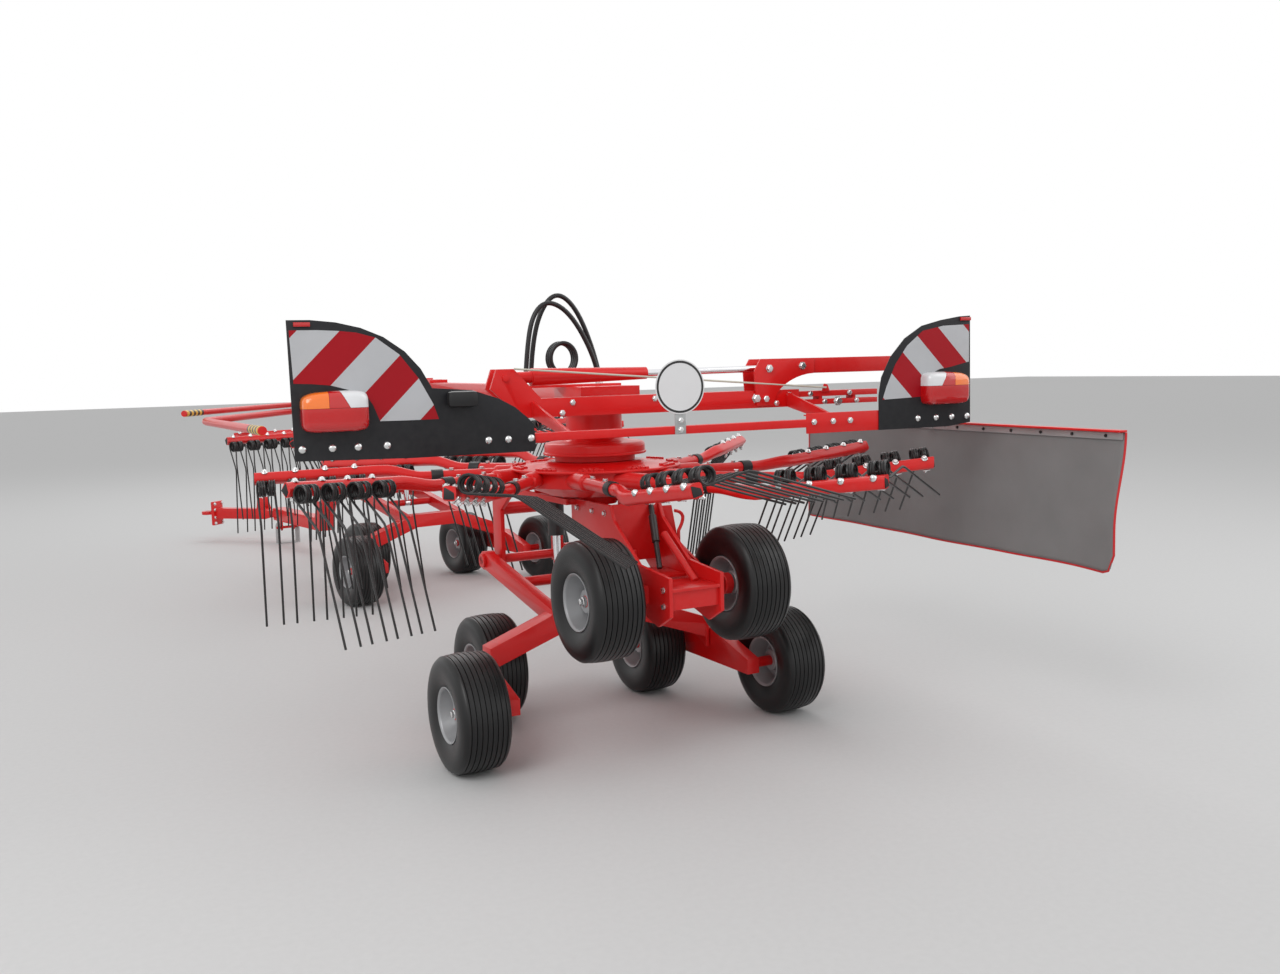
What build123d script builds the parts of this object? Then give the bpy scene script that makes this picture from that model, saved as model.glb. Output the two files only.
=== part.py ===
from build123d import *
import math
import os

# Folded rotary rake: a trailed side-delivery rake with two rotors one behind the other.
# Lengths are in millimetres and angles in degrees. +Y is the travel direction, +X is the
# machine's right and +Z is up. The ground is at Z = 0.

os.makedirs("parts", exist_ok=True)

# Places of the rotor axes and the bends between the parts of the train
rear_axis_x = -118.70
rear_axis_y = -2814.73
rotor_spacing = 3570
front_axis_shift = 200
front_yaw = 12.8
rear_steer = 4.3
drawbar_yaw = 37

# Clearances
play = 0.8
seat = 0.3

# Heights set by the tine arms
arm_height = 1100
hub_top_z = arm_height + 72
hub_bottom_z = arm_height - 50
column_bottom_z = arm_height - 150
boom_bottom_z = arm_height + 230

# Wheels and bogies
wheel_radius = 228
tyre_width = 200
rim_radius = 108
rim_width = 168
stub_radius = 22
stub_reach = 56
wheel_base_half = 304
inner_wheel_x = 391
outer_wheel_x = 719
bogie_x = 555
bogie_pin_z = 300
bogie_pin_radius = 26
bogie_beam_width = 60

# Raised raking wheels behind the rear rotor's column
raking_wheel_x = 318
raking_wheel_y = -620
raking_wheel_z = 664
raking_plate_x = 110

# Swinging axle that lifts each rotor for the road
lift_pivot_y = 745
lift_pivot_z = 620
axle_y = 0
axle_tube = 90
axle_peak_z = 520
axle_end_z = 345
arm_x = 210
arm_plate = 50
neck_x = 150
neck_plate = 20
neck_top_z = arm_height - 70
neck_knee_z = arm_height - 200
neck_heel_z = arm_height - 240
lug_y = 420
lug_z = 557
barrel_z = arm_height - 115
eye_half = 19
ear_plate = 14
lift_barrel_radius = 38
lift_rod_free = 203
lift_rod_held = 15
lift_rod_radius = 18

# Rotor hub, arms and tines
arm_count = 11
first_arm_angle = 165
hub_radius = 330
hub_flange_radius = 360
cover_radius = 208
socket_radius = 36
socket_length = 90
arm_tube_radius = 24
arm_start = 331
clamp_start = 690
clamp_length = 60
bar_start = 985
bar_end = 1425
bar_height = 44
bar_width = 50
bar_rise = 55
tine_first = 1036
tine_pitch = 117
tines_per_arm = 4
coil_radius = 35
coil_length = 78
tine_wire = 9.5
tine_spread = 30
tine_upper = 150
tine_lower = 415
tine_lean = 38

# Column, gearbox and booms
column_radius = 62
gearbox_radius = 118
boom_height = 110
boom_width = 120
boom_pin_radius = 38
boom_plate = 20

# Front beam, drawbar and stand
neck_top_y = 1560
neck_foot_y = 2080
draw_z = 250
draw_height = 110
draw_ear = 22
draw_pin_radius = 25
hinge_ahead = 3060
head_length = 770
stand_back = 170
stand_pivot_z = 143
stand_pin_radius = 12
stand_width = 190
stand_depth = 90
stand_strip = 10
stand_ear = 10

# Cross beam and curtain arm
beam_y = -320
beam_depth = 80
beam_bottom = boom_bottom_z + 3
beam_top = beam_bottom + 72
beam_left = -420
beam_right = 790
foot_x = -500
foot_z = beam_top + 81
foot_plate = 14
foot_pin_radius = 13
foot_eye_radius = 27
arm_pivot_x = 620
arm_pivot_z = beam_bottom + 37
arm_pivot_radius = 18
lever_plate = 10
eye_x = 640
eye_z = beam_top + 90
arm_bottom = beam_top + 66
arm_top = arm_bottom + 64
rail_x = 1560
rail_front = 770
rail_back = -1388
rail_z = beam_bottom - 95
curtain_depth = 535
rail_size = 34
curtain_thickness = 5
foot_neck = 115
barrel_end = 600
curtain_rod_radius = 14

# Light bar, panels, lamps and sign
bar_y = -740
bar_depth = 50
bar_bottom = beam_bottom - 65
bar_top = bar_bottom + 29
stay_left = -400
stay_right = 730
bar_left = -1300
bar_right = 1330
carrier_left = 570
carrier_right = 905
carrier_height = 78
panel_thickness = 4
panel_outer = 1355
panel_width = 455
panel_bottom = bar_bottom - 32
panel_top = panel_bottom + 454
tail_end = -535
tail_top = panel_bottom + 238
lamp_width = 219
lamp_height = 132
lamp_depth = 60
lamp_z = panel_bottom + 164
lamp_inset = 146
sign_x = 27
sign_z = bar_bottom + 172
sign_radius = 100

# Guards and hoses
guard_radius = 22
guard_z = arm_height + 105
guard_root_y = 1630
hose_radius = 10
hose_plate_left = -315
hose_plate_right = 120
hose_plate_y = 40
hose_plate_depth = 130
hose_plate_top = boom_bottom_z + boom_height + 10


def frame_at(x, y, yaw):
    """A level plane on the ground at x, y, turned left by yaw."""
    return Plane(Location((x, y, 0), (0, 0, yaw)))


def level(frame, x, y, z):
    """Plane with its normal up."""
    return Plane(frame.location * Pos(x, y, z))


def facing_back(frame, x, y, z):
    """Plane with its normal to the rear, x to the right and y up."""
    return Plane(frame.location * Pos(x, y, z) * Rot(90, 0, 0))


def facing_right(frame, x, y, z):
    """Plane with its normal to the right, x forward and y up."""
    return Plane(frame.location * Pos(x, y, z) * Rot(0, 90, 90))


def save(shape, name):
    shape.label = name
    export_step(shape, f"parts/{name}.step")


rear_frame = frame_at(rear_axis_x, rear_axis_y, 0)
front_frame = frame_at(rear_axis_x + front_axis_shift, rear_axis_y + rotor_spacing, front_yaw)
rear_truck = frame_at(rear_axis_x, rear_axis_y, rear_steer)
hinge = level(front_frame, 0, hinge_ahead, 0).origin
drawbar_frame = frame_at(hinge.X, hinge.Y, front_yaw + drawbar_yaw)

trucks = (("front", front_frame), ("rear", rear_truck))
sides = (("left", -1), ("right", 1))


# Wheels: a tyre and a rim, turned about the axle
def wheel(frame, x, y, z, name):
    plane = level(frame, x, y, z)
    spin = Axis(plane.origin, plane.x_dir)
    half = tyre_width / 2
    crown = half - 26
    with BuildPart() as tyre:
        with BuildSketch(plane):
            with BuildLine():
                Polyline(
                    (-crown, wheel_radius),
                    (crown, wheel_radius),
                    (half, wheel_radius - 38),
                    (half, rim_radius + 42),
                    (rim_width / 2, rim_radius),
                    (-rim_width / 2, rim_radius),
                    (-half, rim_radius + 42),
                    (-half, wheel_radius - 38),
                    close=True,
                )
            make_face()
        revolve(axis=spin)
    save(tyre.part, f"tyre_{name}")
    well = rim_radius - 34
    with BuildPart() as rim:
        with BuildSketch(plane):
            with BuildLine():
                Polyline(
                    (-rim_width / 2, rim_radius),
                    (-rim_width / 2, rim_radius - 14),
                    (-rim_width / 2 + 34, well),
                    (-10, well),
                    (-10, 46),
                    (-48, 46),
                    (-48, stub_radius + play),
                    (48, stub_radius + play),
                    (48, 46),
                    (4, 46),
                    (4, well),
                    (rim_width / 2 - 34, well),
                    (rim_width / 2, rim_radius - 14),
                    (rim_width / 2, rim_radius),
                    close=True,
                )
            make_face()
        revolve(axis=spin)
    save(rim.part, f"rim_{name}")


# A bogie: a beam with its front wheel inside and its rear wheel outside
def bogie(frame, side, name):
    beam_x = side * bogie_x
    with BuildPart() as beam:
        with BuildSketch(facing_right(frame, beam_x - bogie_beam_width / 2, 0, 0)):
            with BuildLine():
                Polyline(
                    (-wheel_base_half - 45, wheel_radius - 34),
                    (wheel_base_half + 45, wheel_radius - 34),
                    (wheel_base_half + 45, wheel_radius + 30),
                    (60, bogie_pin_z + 44),
                    (-60, bogie_pin_z + 44),
                    (-wheel_base_half - 45, wheel_radius + 30),
                    close=True,
                )
            make_face()
            with Locations((0, bogie_pin_z)):
                Circle(bogie_pin_radius + play, mode=Mode.SUBTRACT)
        extrude(amount=bogie_beam_width)
        for wheel_x, wheel_y, outward in (
            (inner_wheel_x, wheel_base_half, -1),
            (outer_wheel_x, -wheel_base_half, 1),
        ):
            tip = side * (wheel_x + outward * stub_reach)
            with BuildSketch(facing_right(frame, min(beam_x, tip), wheel_y, wheel_radius)):
                Circle(stub_radius)
            extrude(amount=abs(tip - beam_x))
    save(beam.part, name)


# The swinging axle: an inverted V ahead of the column on two arms from the lift pivot
def swing_axle(frame, name):
    reach = bogie_x - bogie_beam_width / 2 - 4
    half = axle_tube / 2
    with BuildPart() as axle:
        with BuildSketch(facing_back(frame, 0, axle_y + half, 0)):
            with BuildLine():
                Polyline(
                    (-reach, axle_end_z - half),
                    (-150, axle_peak_z - axle_tube),
                    (150, axle_peak_z - axle_tube),
                    (reach, axle_end_z - half),
                    (reach, axle_end_z + half),
                    (170, axle_peak_z),
                    (-170, axle_peak_z),
                    (-reach, axle_end_z + half),
                    close=True,
                )
            make_face()
        extrude(amount=axle_tube)
        for side in (-1, 1):
            with BuildSketch(facing_right(frame, side * arm_x - arm_plate / 2, 0, 0)):
                with BuildLine():
                    Polyline(
                        (axle_y - 30, axle_peak_z - 80),
                        (axle_y - 30, axle_peak_z - 8),
                        (lift_pivot_y, lift_pivot_z + 38),
                        (lift_pivot_y, lift_pivot_z - 38),
                        close=True,
                    )
                make_face()
                with Locations((lift_pivot_y, lift_pivot_z)):
                    Circle(44)
                    Circle(stub_radius + play, mode=Mode.SUBTRACT)
            extrude(amount=arm_plate)
            with BuildSketch(facing_right(frame, side * (reach - 8) - 8, 0, 0)):
                with BuildLine():
                    Polyline(
                        (-50, bogie_pin_z - 40),
                        (-50, bogie_pin_z + 40),
                        (axle_y - half + 5, axle_end_z + half),
                        (axle_y + half, axle_end_z - half),
                        close=True,
                    )
                make_face()
            extrude(amount=16)
            pin_end = side * (bogie_x + bogie_beam_width / 2 + 14)
            with BuildSketch(facing_right(frame, min(side * reach, pin_end), 0, bogie_pin_z)):
                Circle(bogie_pin_radius)
            extrude(amount=abs(pin_end) - reach)
            with BuildSketch(facing_right(frame, min(side * 24, side * arm_x), lug_y, lug_z)):
                Circle(24)
            extrude(amount=arm_x - 24)
    save(axle.part, name)


# The carriage on the rotor's column: a neck forward to the lift pivot, raking wheels behind
def carriage(frame, name, raking):
    ear_x = eye_half + seat + ear_plate / 2
    with BuildPart() as body:
        with BuildSketch(level(frame, 0, 0, column_bottom_z)):
            Circle(column_radius + 26)
        extrude(amount=hub_bottom_z - column_bottom_z - 10)
        for side in (-1, 1):
            with BuildSketch(facing_right(frame, side * neck_x - neck_plate / 2, 0, 0)):
                with BuildLine():
                    Polyline(
                        (-40, column_bottom_z),
                        (-40, neck_top_z),
                        (480, neck_top_z),
                        (lift_pivot_y + 50, neck_knee_z),
                        (lift_pivot_y + 50, lift_pivot_z - 40),
                        (lift_pivot_y - 50, lift_pivot_z - 40),
                        (lift_pivot_y - 50, neck_heel_z),
                        (560, column_bottom_z),
                        close=True,
                    )
                make_face()
            extrude(amount=neck_plate)
            with BuildSketch(facing_right(frame, side * ear_x - ear_plate / 2, 0, 0)):
                with Locations((lug_y, barrel_z + 11)):
                    Rectangle(56, 68)
            extrude(amount=ear_plate)
        with BuildSketch(level(frame, 0, 0, column_bottom_z)):
            Rectangle(2 * neck_x, 80)
        extrude(amount=neck_top_z - column_bottom_z)
        with BuildSketch(facing_back(frame, 0, lug_y + 28, barrel_z + 35)):
            Rectangle(2 * neck_x, 20)
        extrude(amount=56)
        with BuildSketch(facing_right(frame, -neck_x, lift_pivot_y, neck_heel_z)):
            Circle(30)
        extrude(amount=2 * neck_x)
        pin_half = arm_x + arm_plate / 2 + 12
        with BuildSketch(facing_right(frame, -pin_half, lift_pivot_y, lift_pivot_z)):
            Circle(stub_radius)
        extrude(amount=2 * pin_half)
        if raking:
            for plate_x in (-raking_plate_x, raking_plate_x - 16):
                with BuildSketch(facing_right(frame, plate_x, 0, 0)):
                    with BuildLine():
                        Polyline(
                            (0, column_bottom_z),
                            (0, neck_top_z),
                            (raking_wheel_y + 110, neck_top_z),
                            (raking_wheel_y - 50, raking_wheel_z + 60),
                            (raking_wheel_y - 50, raking_wheel_z - 45),
                            (raking_wheel_y + 50, raking_wheel_z - 45),
                            (raking_wheel_y + 170, column_bottom_z),
                            close=True,
                        )
                    make_face()
                extrude(amount=16)
            tube_half = raking_wheel_x - stub_reach
            with BuildSketch(facing_right(frame, -tube_half + 40, raking_wheel_y, raking_wheel_z)):
                Rectangle(70, 70)
            extrude(amount=2 * tube_half - 80)
            stub_half = raking_wheel_x + stub_reach
            with BuildSketch(facing_right(frame, -stub_half, raking_wheel_y, raking_wheel_z)):
                Circle(stub_radius)
            extrude(amount=2 * stub_half)
        with BuildSketch(level(frame, 0, 0, column_bottom_z)):
            Circle(column_radius)
        extrude(amount=hub_bottom_z - column_bottom_z, mode=Mode.SUBTRACT)
    save(body.part, name)


# Lift cylinder between the neck and the swinging axle, its rod open at the eye
def lift_cylinder(frame, place):
    barrel_top = barrel_z - 20
    barrel_foot = lug_z + lift_rod_free
    barrel_length = barrel_top - barrel_foot
    with BuildPart() as barrel:
        with BuildSketch(facing_right(frame, -eye_half, lug_y, barrel_z)):
            Circle(24)
        extrude(amount=2 * eye_half)
        with BuildSketch(level(frame, 0, lug_y, barrel_foot)):
            Circle(lift_barrel_radius)
        extrude(amount=barrel_length - 8)
        with BuildSketch(level(frame, 0, lug_y, barrel_top - 8)):
            Circle(18)
        extrude(amount=20)
        with BuildSketch(level(frame, 0, lug_y, barrel_foot)):
            Circle(lift_rod_radius + play)
        extrude(amount=barrel_length - 18, mode=Mode.SUBTRACT)
    save(barrel.part, f"{place}_lift_barrel")
    with BuildPart() as rod:
        with BuildSketch(facing_right(frame, -eye_half, lug_y, lug_z)):
            Circle(24)
        extrude(amount=2 * eye_half)
        with BuildSketch(level(frame, 0, lug_y, lug_z)):
            Circle(lift_rod_radius)
        extrude(amount=lift_rod_free + lift_rod_held)
    save(rod.part, f"{place}_lift_rod")


for place, frame in trucks:
    for side_name, side in sides:
        name = f"{place}_{side_name}"
        wheel(frame, side * inner_wheel_x, wheel_base_half, wheel_radius, f"{name}_inner")
        wheel(frame, side * outer_wheel_x, -wheel_base_half, wheel_radius, f"{name}_outer")
        bogie(frame, side, f"{place}_bogie_{side_name}")
    swing_axle(frame, f"{place}_axle")
    carriage(frame, f"{place}_carriage", place == "rear")
    lift_cylinder(frame, place)

for side_name, side in sides:
    wheel(rear_truck, side * raking_wheel_x, raking_wheel_y, raking_wheel_z, f"raking_{side_name}")


# Column and gearbox over each rotor
def gearbox(frame, name):
    foot = hub_top_z + 12
    with BuildPart() as body:
        with BuildSketch(level(frame, 0, 0, column_bottom_z)):
            Circle(column_radius - play)
        extrude(amount=boom_bottom_z - column_bottom_z)
        with BuildSketch(level(frame, 0, 0, foot)):
            Circle(gearbox_radius)
        extrude(amount=boom_bottom_z - foot)
    save(body.part, name)


gearbox(front_frame, "front_gearbox")
gearbox(rear_frame, "rear_gearbox")


# Rotor hub: a flared drum with a bolted cover
def rotor_hub(frame, name):
    flange_z = arm_height + socket_radius + play
    with BuildPart() as hub:
        with BuildSketch(facing_back(frame, 0, 0, 0)):
            with BuildLine():
                Polyline(
                    (column_radius, hub_bottom_z),
                    (hub_radius, hub_bottom_z),
                    (hub_radius, flange_z),
                    (hub_flange_radius, flange_z),
                    (hub_flange_radius, flange_z + 8),
                    (cover_radius + 40, hub_top_z - 14),
                    (cover_radius, hub_top_z - 14),
                    (cover_radius, hub_top_z),
                    (column_radius, hub_top_z),
                    close=True,
                )
            make_face()
        revolve(axis=Axis(frame.origin, frame.z_dir))
    save(hub.part, name)


# One tine arm along +X, its tine bar raised by the bend
with BuildPart() as arm_shape:
    with BuildSketch(Plane.YZ.offset(arm_start)):
        Circle(socket_radius)
    extrude(amount=socket_length)
    with BuildSketch(Plane.YZ.offset(arm_start)):
        Circle(arm_tube_radius)
    extrude(amount=clamp_start - arm_start)
    with BuildSketch(Plane.YZ.offset(clamp_start)):
        Rectangle(64, 70)
    extrude(amount=clamp_length)
    with BuildSketch(Plane.YZ.offset(clamp_start + clamp_length)):
        Rectangle(44, 44)
    with BuildSketch(Plane.YZ.offset(bar_start)):
        with Locations((0, bar_rise)):
            Rectangle(bar_width, bar_height)
    loft()
    with BuildSketch(Plane.YZ.offset(bar_start)):
        with Locations((0, bar_rise)):
            Rectangle(bar_width, bar_height)
    extrude(amount=bar_end - bar_start)

# One double spring tine, its coils about the X axis, its wires straight down and then leaning
lean_y = math.sin(math.radians(tine_lean))
lean_z = math.cos(math.radians(tine_lean))
with BuildPart() as tine_shape:
    with BuildSketch(Plane.YZ.offset(-coil_length / 2)):
        RegularPolygon(coil_radius, 8)
    extrude(amount=coil_length)
    wire_y = tine_wire / 2 - coil_radius
    tip_y = wire_y - tine_lower * lean_y
    tip_z = -tine_upper - tine_lower * lean_z
    for side in (-1, 1):
        with BuildSketch(Plane.YZ.offset(side * tine_spread - tine_wire / 2)):
            with BuildLine():
                Polyline(
                    (wire_y - tine_wire / 2, 0),
                    (wire_y + tine_wire / 2, 0),
                    (wire_y + tine_wire / 2, -tine_upper),
                    (tip_y + tine_wire / 2 * lean_z, tip_z - tine_wire / 2 * lean_y),
                    (tip_y - tine_wire / 2 * lean_z, tip_z + tine_wire / 2 * lean_y),
                    (wire_y - tine_wire / 2, -tine_upper),
                    close=True,
                )
            make_face()
        extrude(amount=tine_wire)

# Roll of each arm about itself, set by the cam track, from the first arm round to the left
arm_rolls = (50, 55, 98, 108, 100, 85, 60, 40, 20, 15, 20)


def rotor(frame, place, phase):
    rotor_hub(frame, f"{place}_rotor_hub")
    hang_z = bar_rise - bar_height / 2 - coil_radius - seat
    arms = []
    tines = []
    for index, roll in enumerate(arm_rolls):
        turn = phase + index * 360 / arm_count
        spot = frame.location * Pos(0, 0, arm_height) * Rot(0, 0, turn) * Rot(roll, 0, 0)
        arms.append(arm_shape.part.moved(spot))
        for number in range(tines_per_arm):
            tines.append(tine_shape.part.moved(spot * Pos(tine_first + number * tine_pitch, 0, hang_z)))
    save(Compound(arms), f"{place}_tine_arms")
    save(Compound(tines), f"{place}_tines")


rotor(rear_frame, "rear", first_arm_angle)
rotor(front_frame, "front", first_arm_angle + 9)

# Front beam: over the front rotor and down ahead of it to the drawbar's hinge
draw_foot = draw_z - draw_height / 2
with BuildPart() as front_beam:
    with BuildSketch(facing_right(front_frame, -boom_width / 2, 0, 0)):
        with BuildLine():
            Polyline(
                (-190, boom_bottom_z),
                (neck_top_y - 60, boom_bottom_z),
                (neck_foot_y - 100, draw_foot),
                (hinge_ahead - 70, draw_foot),
                (hinge_ahead - 70, draw_foot + draw_height),
                (neck_foot_y, draw_foot + draw_height),
                (neck_top_y + 40, boom_bottom_z + boom_height),
                (-190, boom_bottom_z + boom_height),
                close=True,
            )
        make_face()
    extrude(amount=boom_width)
    for ear_z in (draw_foot, draw_foot + draw_height - draw_ear):
        with BuildSketch(level(front_frame, 0, 0, ear_z)):
            with Locations((0, hinge_ahead - 40)):
                Rectangle(boom_width, 80)
            with Locations((0, hinge_ahead)):
                Circle(boom_width / 2)
        extrude(amount=draw_ear)
    with BuildSketch(level(front_frame, 0, hinge_ahead, draw_foot)):
        Circle(draw_pin_radius)
    extrude(amount=draw_height)
    with BuildSketch(level(front_frame, 0, 0, boom_bottom_z + boom_height)):
        Circle(boom_pin_radius)
    extrude(amount=boom_plate + 12)
    for side in (-1, 1):
        ear_x = side * (boom_width - stand_ear) / 2
        with BuildSketch(facing_right(front_frame, ear_x - stand_ear / 2, hinge_ahead - stand_back, 0)):
            with Locations((0, (stand_pivot_z + draw_foot) / 2)):
                Rectangle(60, draw_foot - stand_pivot_z)
            with Locations((0, stand_pivot_z)):
                Circle(30)
        extrude(amount=stand_ear)
    pin_half = stand_width / 2 + 6
    with BuildSketch(facing_right(front_frame, -pin_half, hinge_ahead - stand_back, stand_pivot_z)):
        Circle(stand_pin_radius)
    extrude(amount=2 * pin_half)
save(front_beam.part, "front_beam")

# Parking stand: a bent strip that folds back under the front beam
stand_y = hinge_ahead - stand_back
strip_x = (stand_width - stand_strip) / 2
with BuildPart() as stand:
    with BuildSketch(facing_back(front_frame, 0, stand_y + stand_depth / 2, 0)):
        with Locations((0, stand_strip / 2)):
            Rectangle(stand_width, stand_strip)
        with Locations((-strip_x, stand_pivot_z / 2), (strip_x, stand_pivot_z / 2)):
            Rectangle(stand_strip, stand_pivot_z)
    extrude(amount=stand_depth)
    for side in (-1, 1):
        with BuildSketch(facing_right(front_frame, side * strip_x - stand_strip / 2, stand_y, stand_pivot_z)):
            Circle(stand_depth / 2)
        extrude(amount=stand_strip)
    with BuildSketch(facing_right(front_frame, -stand_width / 2, stand_y, stand_pivot_z)):
        Circle(stand_pin_radius + play)
    extrude(amount=stand_width, mode=Mode.SUBTRACT)
save(stand.part, "parking_stand")

# Drawbar head, swung aside on its upright pin
tongue_foot = draw_foot + draw_ear + play
tongue_height = draw_height - 2 * draw_ear - 2 * play
with BuildPart() as drawbar:
    with BuildSketch(level(drawbar_frame, 0, 0, tongue_foot)):
        Circle(52)
        with Locations((0, 60)):
            Rectangle(80, 120)
        Circle(draw_pin_radius + play, mode=Mode.SUBTRACT)
    extrude(amount=tongue_height)
    with BuildSketch(facing_right(drawbar_frame, -45, 0, 0)):
        with BuildLine():
            Polyline(
                (80, tongue_foot),
                (130, draw_z - 48),
                (head_length - 130, draw_z - 48),
                (head_length - 130, draw_z + 48),
                (130, draw_z + 48),
                (80, tongue_foot + tongue_height),
                close=True,
            )
        make_face()
    extrude(amount=90)
    with BuildSketch(facing_right(drawbar_frame, -70, 0, 0)):
        with Locations((head_length - 115, draw_z + 5)):
            Rectangle(30, 220)
    extrude(amount=140)
    with BuildSketch(level(drawbar_frame, 0, 0, draw_z - 15)):
        with Locations((0, head_length)):
            Circle(55)
        with Locations((0, head_length - 65)):
            Rectangle(60, 90)
        with Locations((0, head_length)):
            Circle(25, mode=Mode.SUBTRACT)
    extrude(amount=30)
save(drawbar.part, "drawbar")

# Rear boom from the front column back over the rear rotor
boom_turn = math.degrees(math.atan2(front_axis_shift, rotor_spacing))
boom_length = math.hypot(front_axis_shift, rotor_spacing)
boom_frame = frame_at(rear_axis_x, rear_axis_y, -boom_turn)
boom_front = boom_length - 290
boom_back = 190
boom_top = boom_bottom_z + boom_height
with BuildPart() as boom:
    with BuildSketch(level(boom_frame, 0, 0, boom_bottom_z)):
        with Locations((0, boom_front / 2)):
            Rectangle(boom_width, boom_front)
    extrude(amount=boom_height)
    with BuildSketch(level(rear_frame, 0, 0, boom_bottom_z)):
        with Locations((0, 60 - boom_back / 2)):
            Rectangle(260, boom_back + 120)
    extrude(amount=boom_height)
    with BuildSketch(level(boom_frame, 0, boom_length, boom_top + play)):
        Circle(100)
        with Locations((0, -190)):
            Rectangle(boom_width, 380)
        Circle(boom_pin_radius + play, mode=Mode.SUBTRACT)
    extrude(amount=boom_plate)
    with BuildSketch(level(boom_frame, 0, boom_front - 40, boom_top)):
        Rectangle(boom_width, 80)
    extrude(amount=10)
    with BuildSketch(level(rear_frame, 0, 0, boom_top)):
        with Locations(((hose_plate_left + hose_plate_right) / 2, hose_plate_y)):
            Rectangle(hose_plate_right - hose_plate_left, hose_plate_depth)
    extrude(amount=hose_plate_top - boom_top)
save(boom.part, "rear_boom")

# Cross beam behind the rear column, with two plates for the curtain cylinder's foot
beam_front_y = beam_y + beam_depth / 2
beam_back_y = beam_y - beam_depth / 2
with BuildPart() as cross_beam:
    with BuildSketch(facing_back(rear_frame, 0, beam_front_y, 0)):
        with Locations(((beam_left + beam_right) / 2, (beam_bottom + beam_top) / 2)):
            Rectangle(beam_right - beam_left, beam_top - beam_bottom)
    extrude(amount=beam_depth)
    for plate_y in (beam_front_y, beam_back_y + foot_plate):
        with BuildSketch(facing_back(rear_frame, 0, plate_y, 0)):
            with BuildLine():
                Polyline(
                    (beam_left + 60, beam_bottom),
                    (beam_left + 60, beam_top),
                    (foot_x + 34, foot_z + 34),
                    (foot_x - 34, foot_z + 34),
                    (foot_x - 60, foot_z - 40),
                    (beam_left - 20, beam_bottom),
                    close=True,
                )
            make_face()
        extrude(amount=foot_plate)
    with BuildSketch(facing_back(rear_frame, foot_x, beam_front_y + 8, foot_z)):
        Circle(foot_pin_radius)
    extrude(amount=beam_depth + 16)
    with BuildSketch(facing_back(rear_frame, 0, -boom_back - seat, (beam_bottom + beam_top) / 2)):
        Rectangle(220, beam_top - beam_bottom)
    extrude(amount=-boom_back - seat - beam_front_y)
    with BuildSketch(facing_back(rear_frame, 0, beam_front_y + 14, 0)):
        with Locations((arm_pivot_x, arm_pivot_z)):
            Circle(arm_pivot_radius)
    extrude(amount=beam_depth + 28)
save(cross_beam.part, "cross_beam")

# Curtain arm: lever plates astride the beam, a box arm to the right and the curtain's rail
with BuildPart() as curtain_arm:
    for plate_y in (beam_front_y + play + lever_plate, beam_back_y - play):
        with BuildSketch(facing_back(rear_frame, 0, plate_y, 0)):
            with BuildLine():
                Polyline(
                    (arm_pivot_x - 40, arm_pivot_z - 28),
                    (arm_pivot_x + 40, arm_pivot_z - 28),
                    (760, arm_bottom - 20),
                    (860, arm_bottom),
                    (860, arm_top),
                    (600, arm_top),
                    close=True,
                )
            make_face()
            with Locations((arm_pivot_x, arm_pivot_z)):
                Circle(arm_pivot_radius + play, mode=Mode.SUBTRACT)
        extrude(amount=lever_plate)
    with BuildSketch(facing_back(rear_frame, 0, beam_front_y + play, 0)):
        with Locations(((740 + rail_x - 20) / 2, (arm_bottom + arm_top) / 2)):
            Rectangle(rail_x - 20 - 740, arm_top - arm_bottom)
    extrude(amount=beam_depth + 2 * play)
    with BuildSketch(facing_back(rear_frame, 0, beam_y + 30, 0)):
        with Locations((rail_x - 45, (arm_top + rail_z) / 2)):
            Rectangle(50, arm_top - rail_z)
    extrude(amount=60)
    with BuildSketch(facing_back(rear_frame, 0, rail_front, 0)):
        with Locations((rail_x - seat - rail_size / 2, rail_z + 10)):
            Rectangle(rail_size, rail_size)
    extrude(amount=rail_front - rail_back)
save(curtain_arm.part, "curtain_arm")

# Swath curtain hanging from the rail
with BuildPart() as curtain:
    with BuildSketch(facing_right(rear_frame, rail_x, 0, 0)):
        with BuildLine():
            Polyline(
                (rail_back, rail_z + 20),
                (rail_back, rail_z - curtain_depth + 60),
                (rail_back + 60, rail_z - curtain_depth),
                (rail_front, rail_z - curtain_depth),
                (rail_front, rail_z + 20),
                close=True,
            )
        make_face()
    extrude(amount=curtain_thickness)
save(curtain.part, "swath_curtain")

# Curtain cylinder: tapered barrel on the beam's left end and a bright rod to the arm
tilt = math.degrees(math.atan2(eye_z - foot_z, eye_x - foot_x))
eye_reach = math.hypot(eye_x - foot_x, eye_z - foot_z)
cylinder = Plane(rear_frame.location * Pos(foot_x, beam_y, foot_z) * Rot(0, -tilt, 0))


def along(distance):
    """Plane across the curtain cylinder at a distance from its foot."""
    return Plane(cylinder.location * Pos(distance, 0, 0) * Rot(0, 90, 0))


foot_eye_half = beam_depth / 2 - foot_plate - play
with BuildPart() as curtain_barrel:
    with BuildSketch(facing_back(cylinder, 0, foot_eye_half, 0)):
        Circle(foot_eye_radius)
    extrude(amount=2 * foot_eye_half)
    with BuildSketch(along(18)):
        Circle(22)
    extrude(amount=100)
    with BuildSketch(along(foot_neck)):
        Circle(34)
    with BuildSketch(along(barrel_end)):
        Circle(24)
    loft()
    with BuildSketch(along(foot_neck + 40)):
        Circle(curtain_rod_radius + play)
    extrude(amount=barrel_end, mode=Mode.SUBTRACT)
    with BuildSketch(facing_back(cylinder, 0, foot_eye_half, 0)):
        Circle(foot_pin_radius + play)
    extrude(amount=2 * foot_eye_half, mode=Mode.SUBTRACT)
save(curtain_barrel.part, "curtain_cylinder_barrel")

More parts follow.
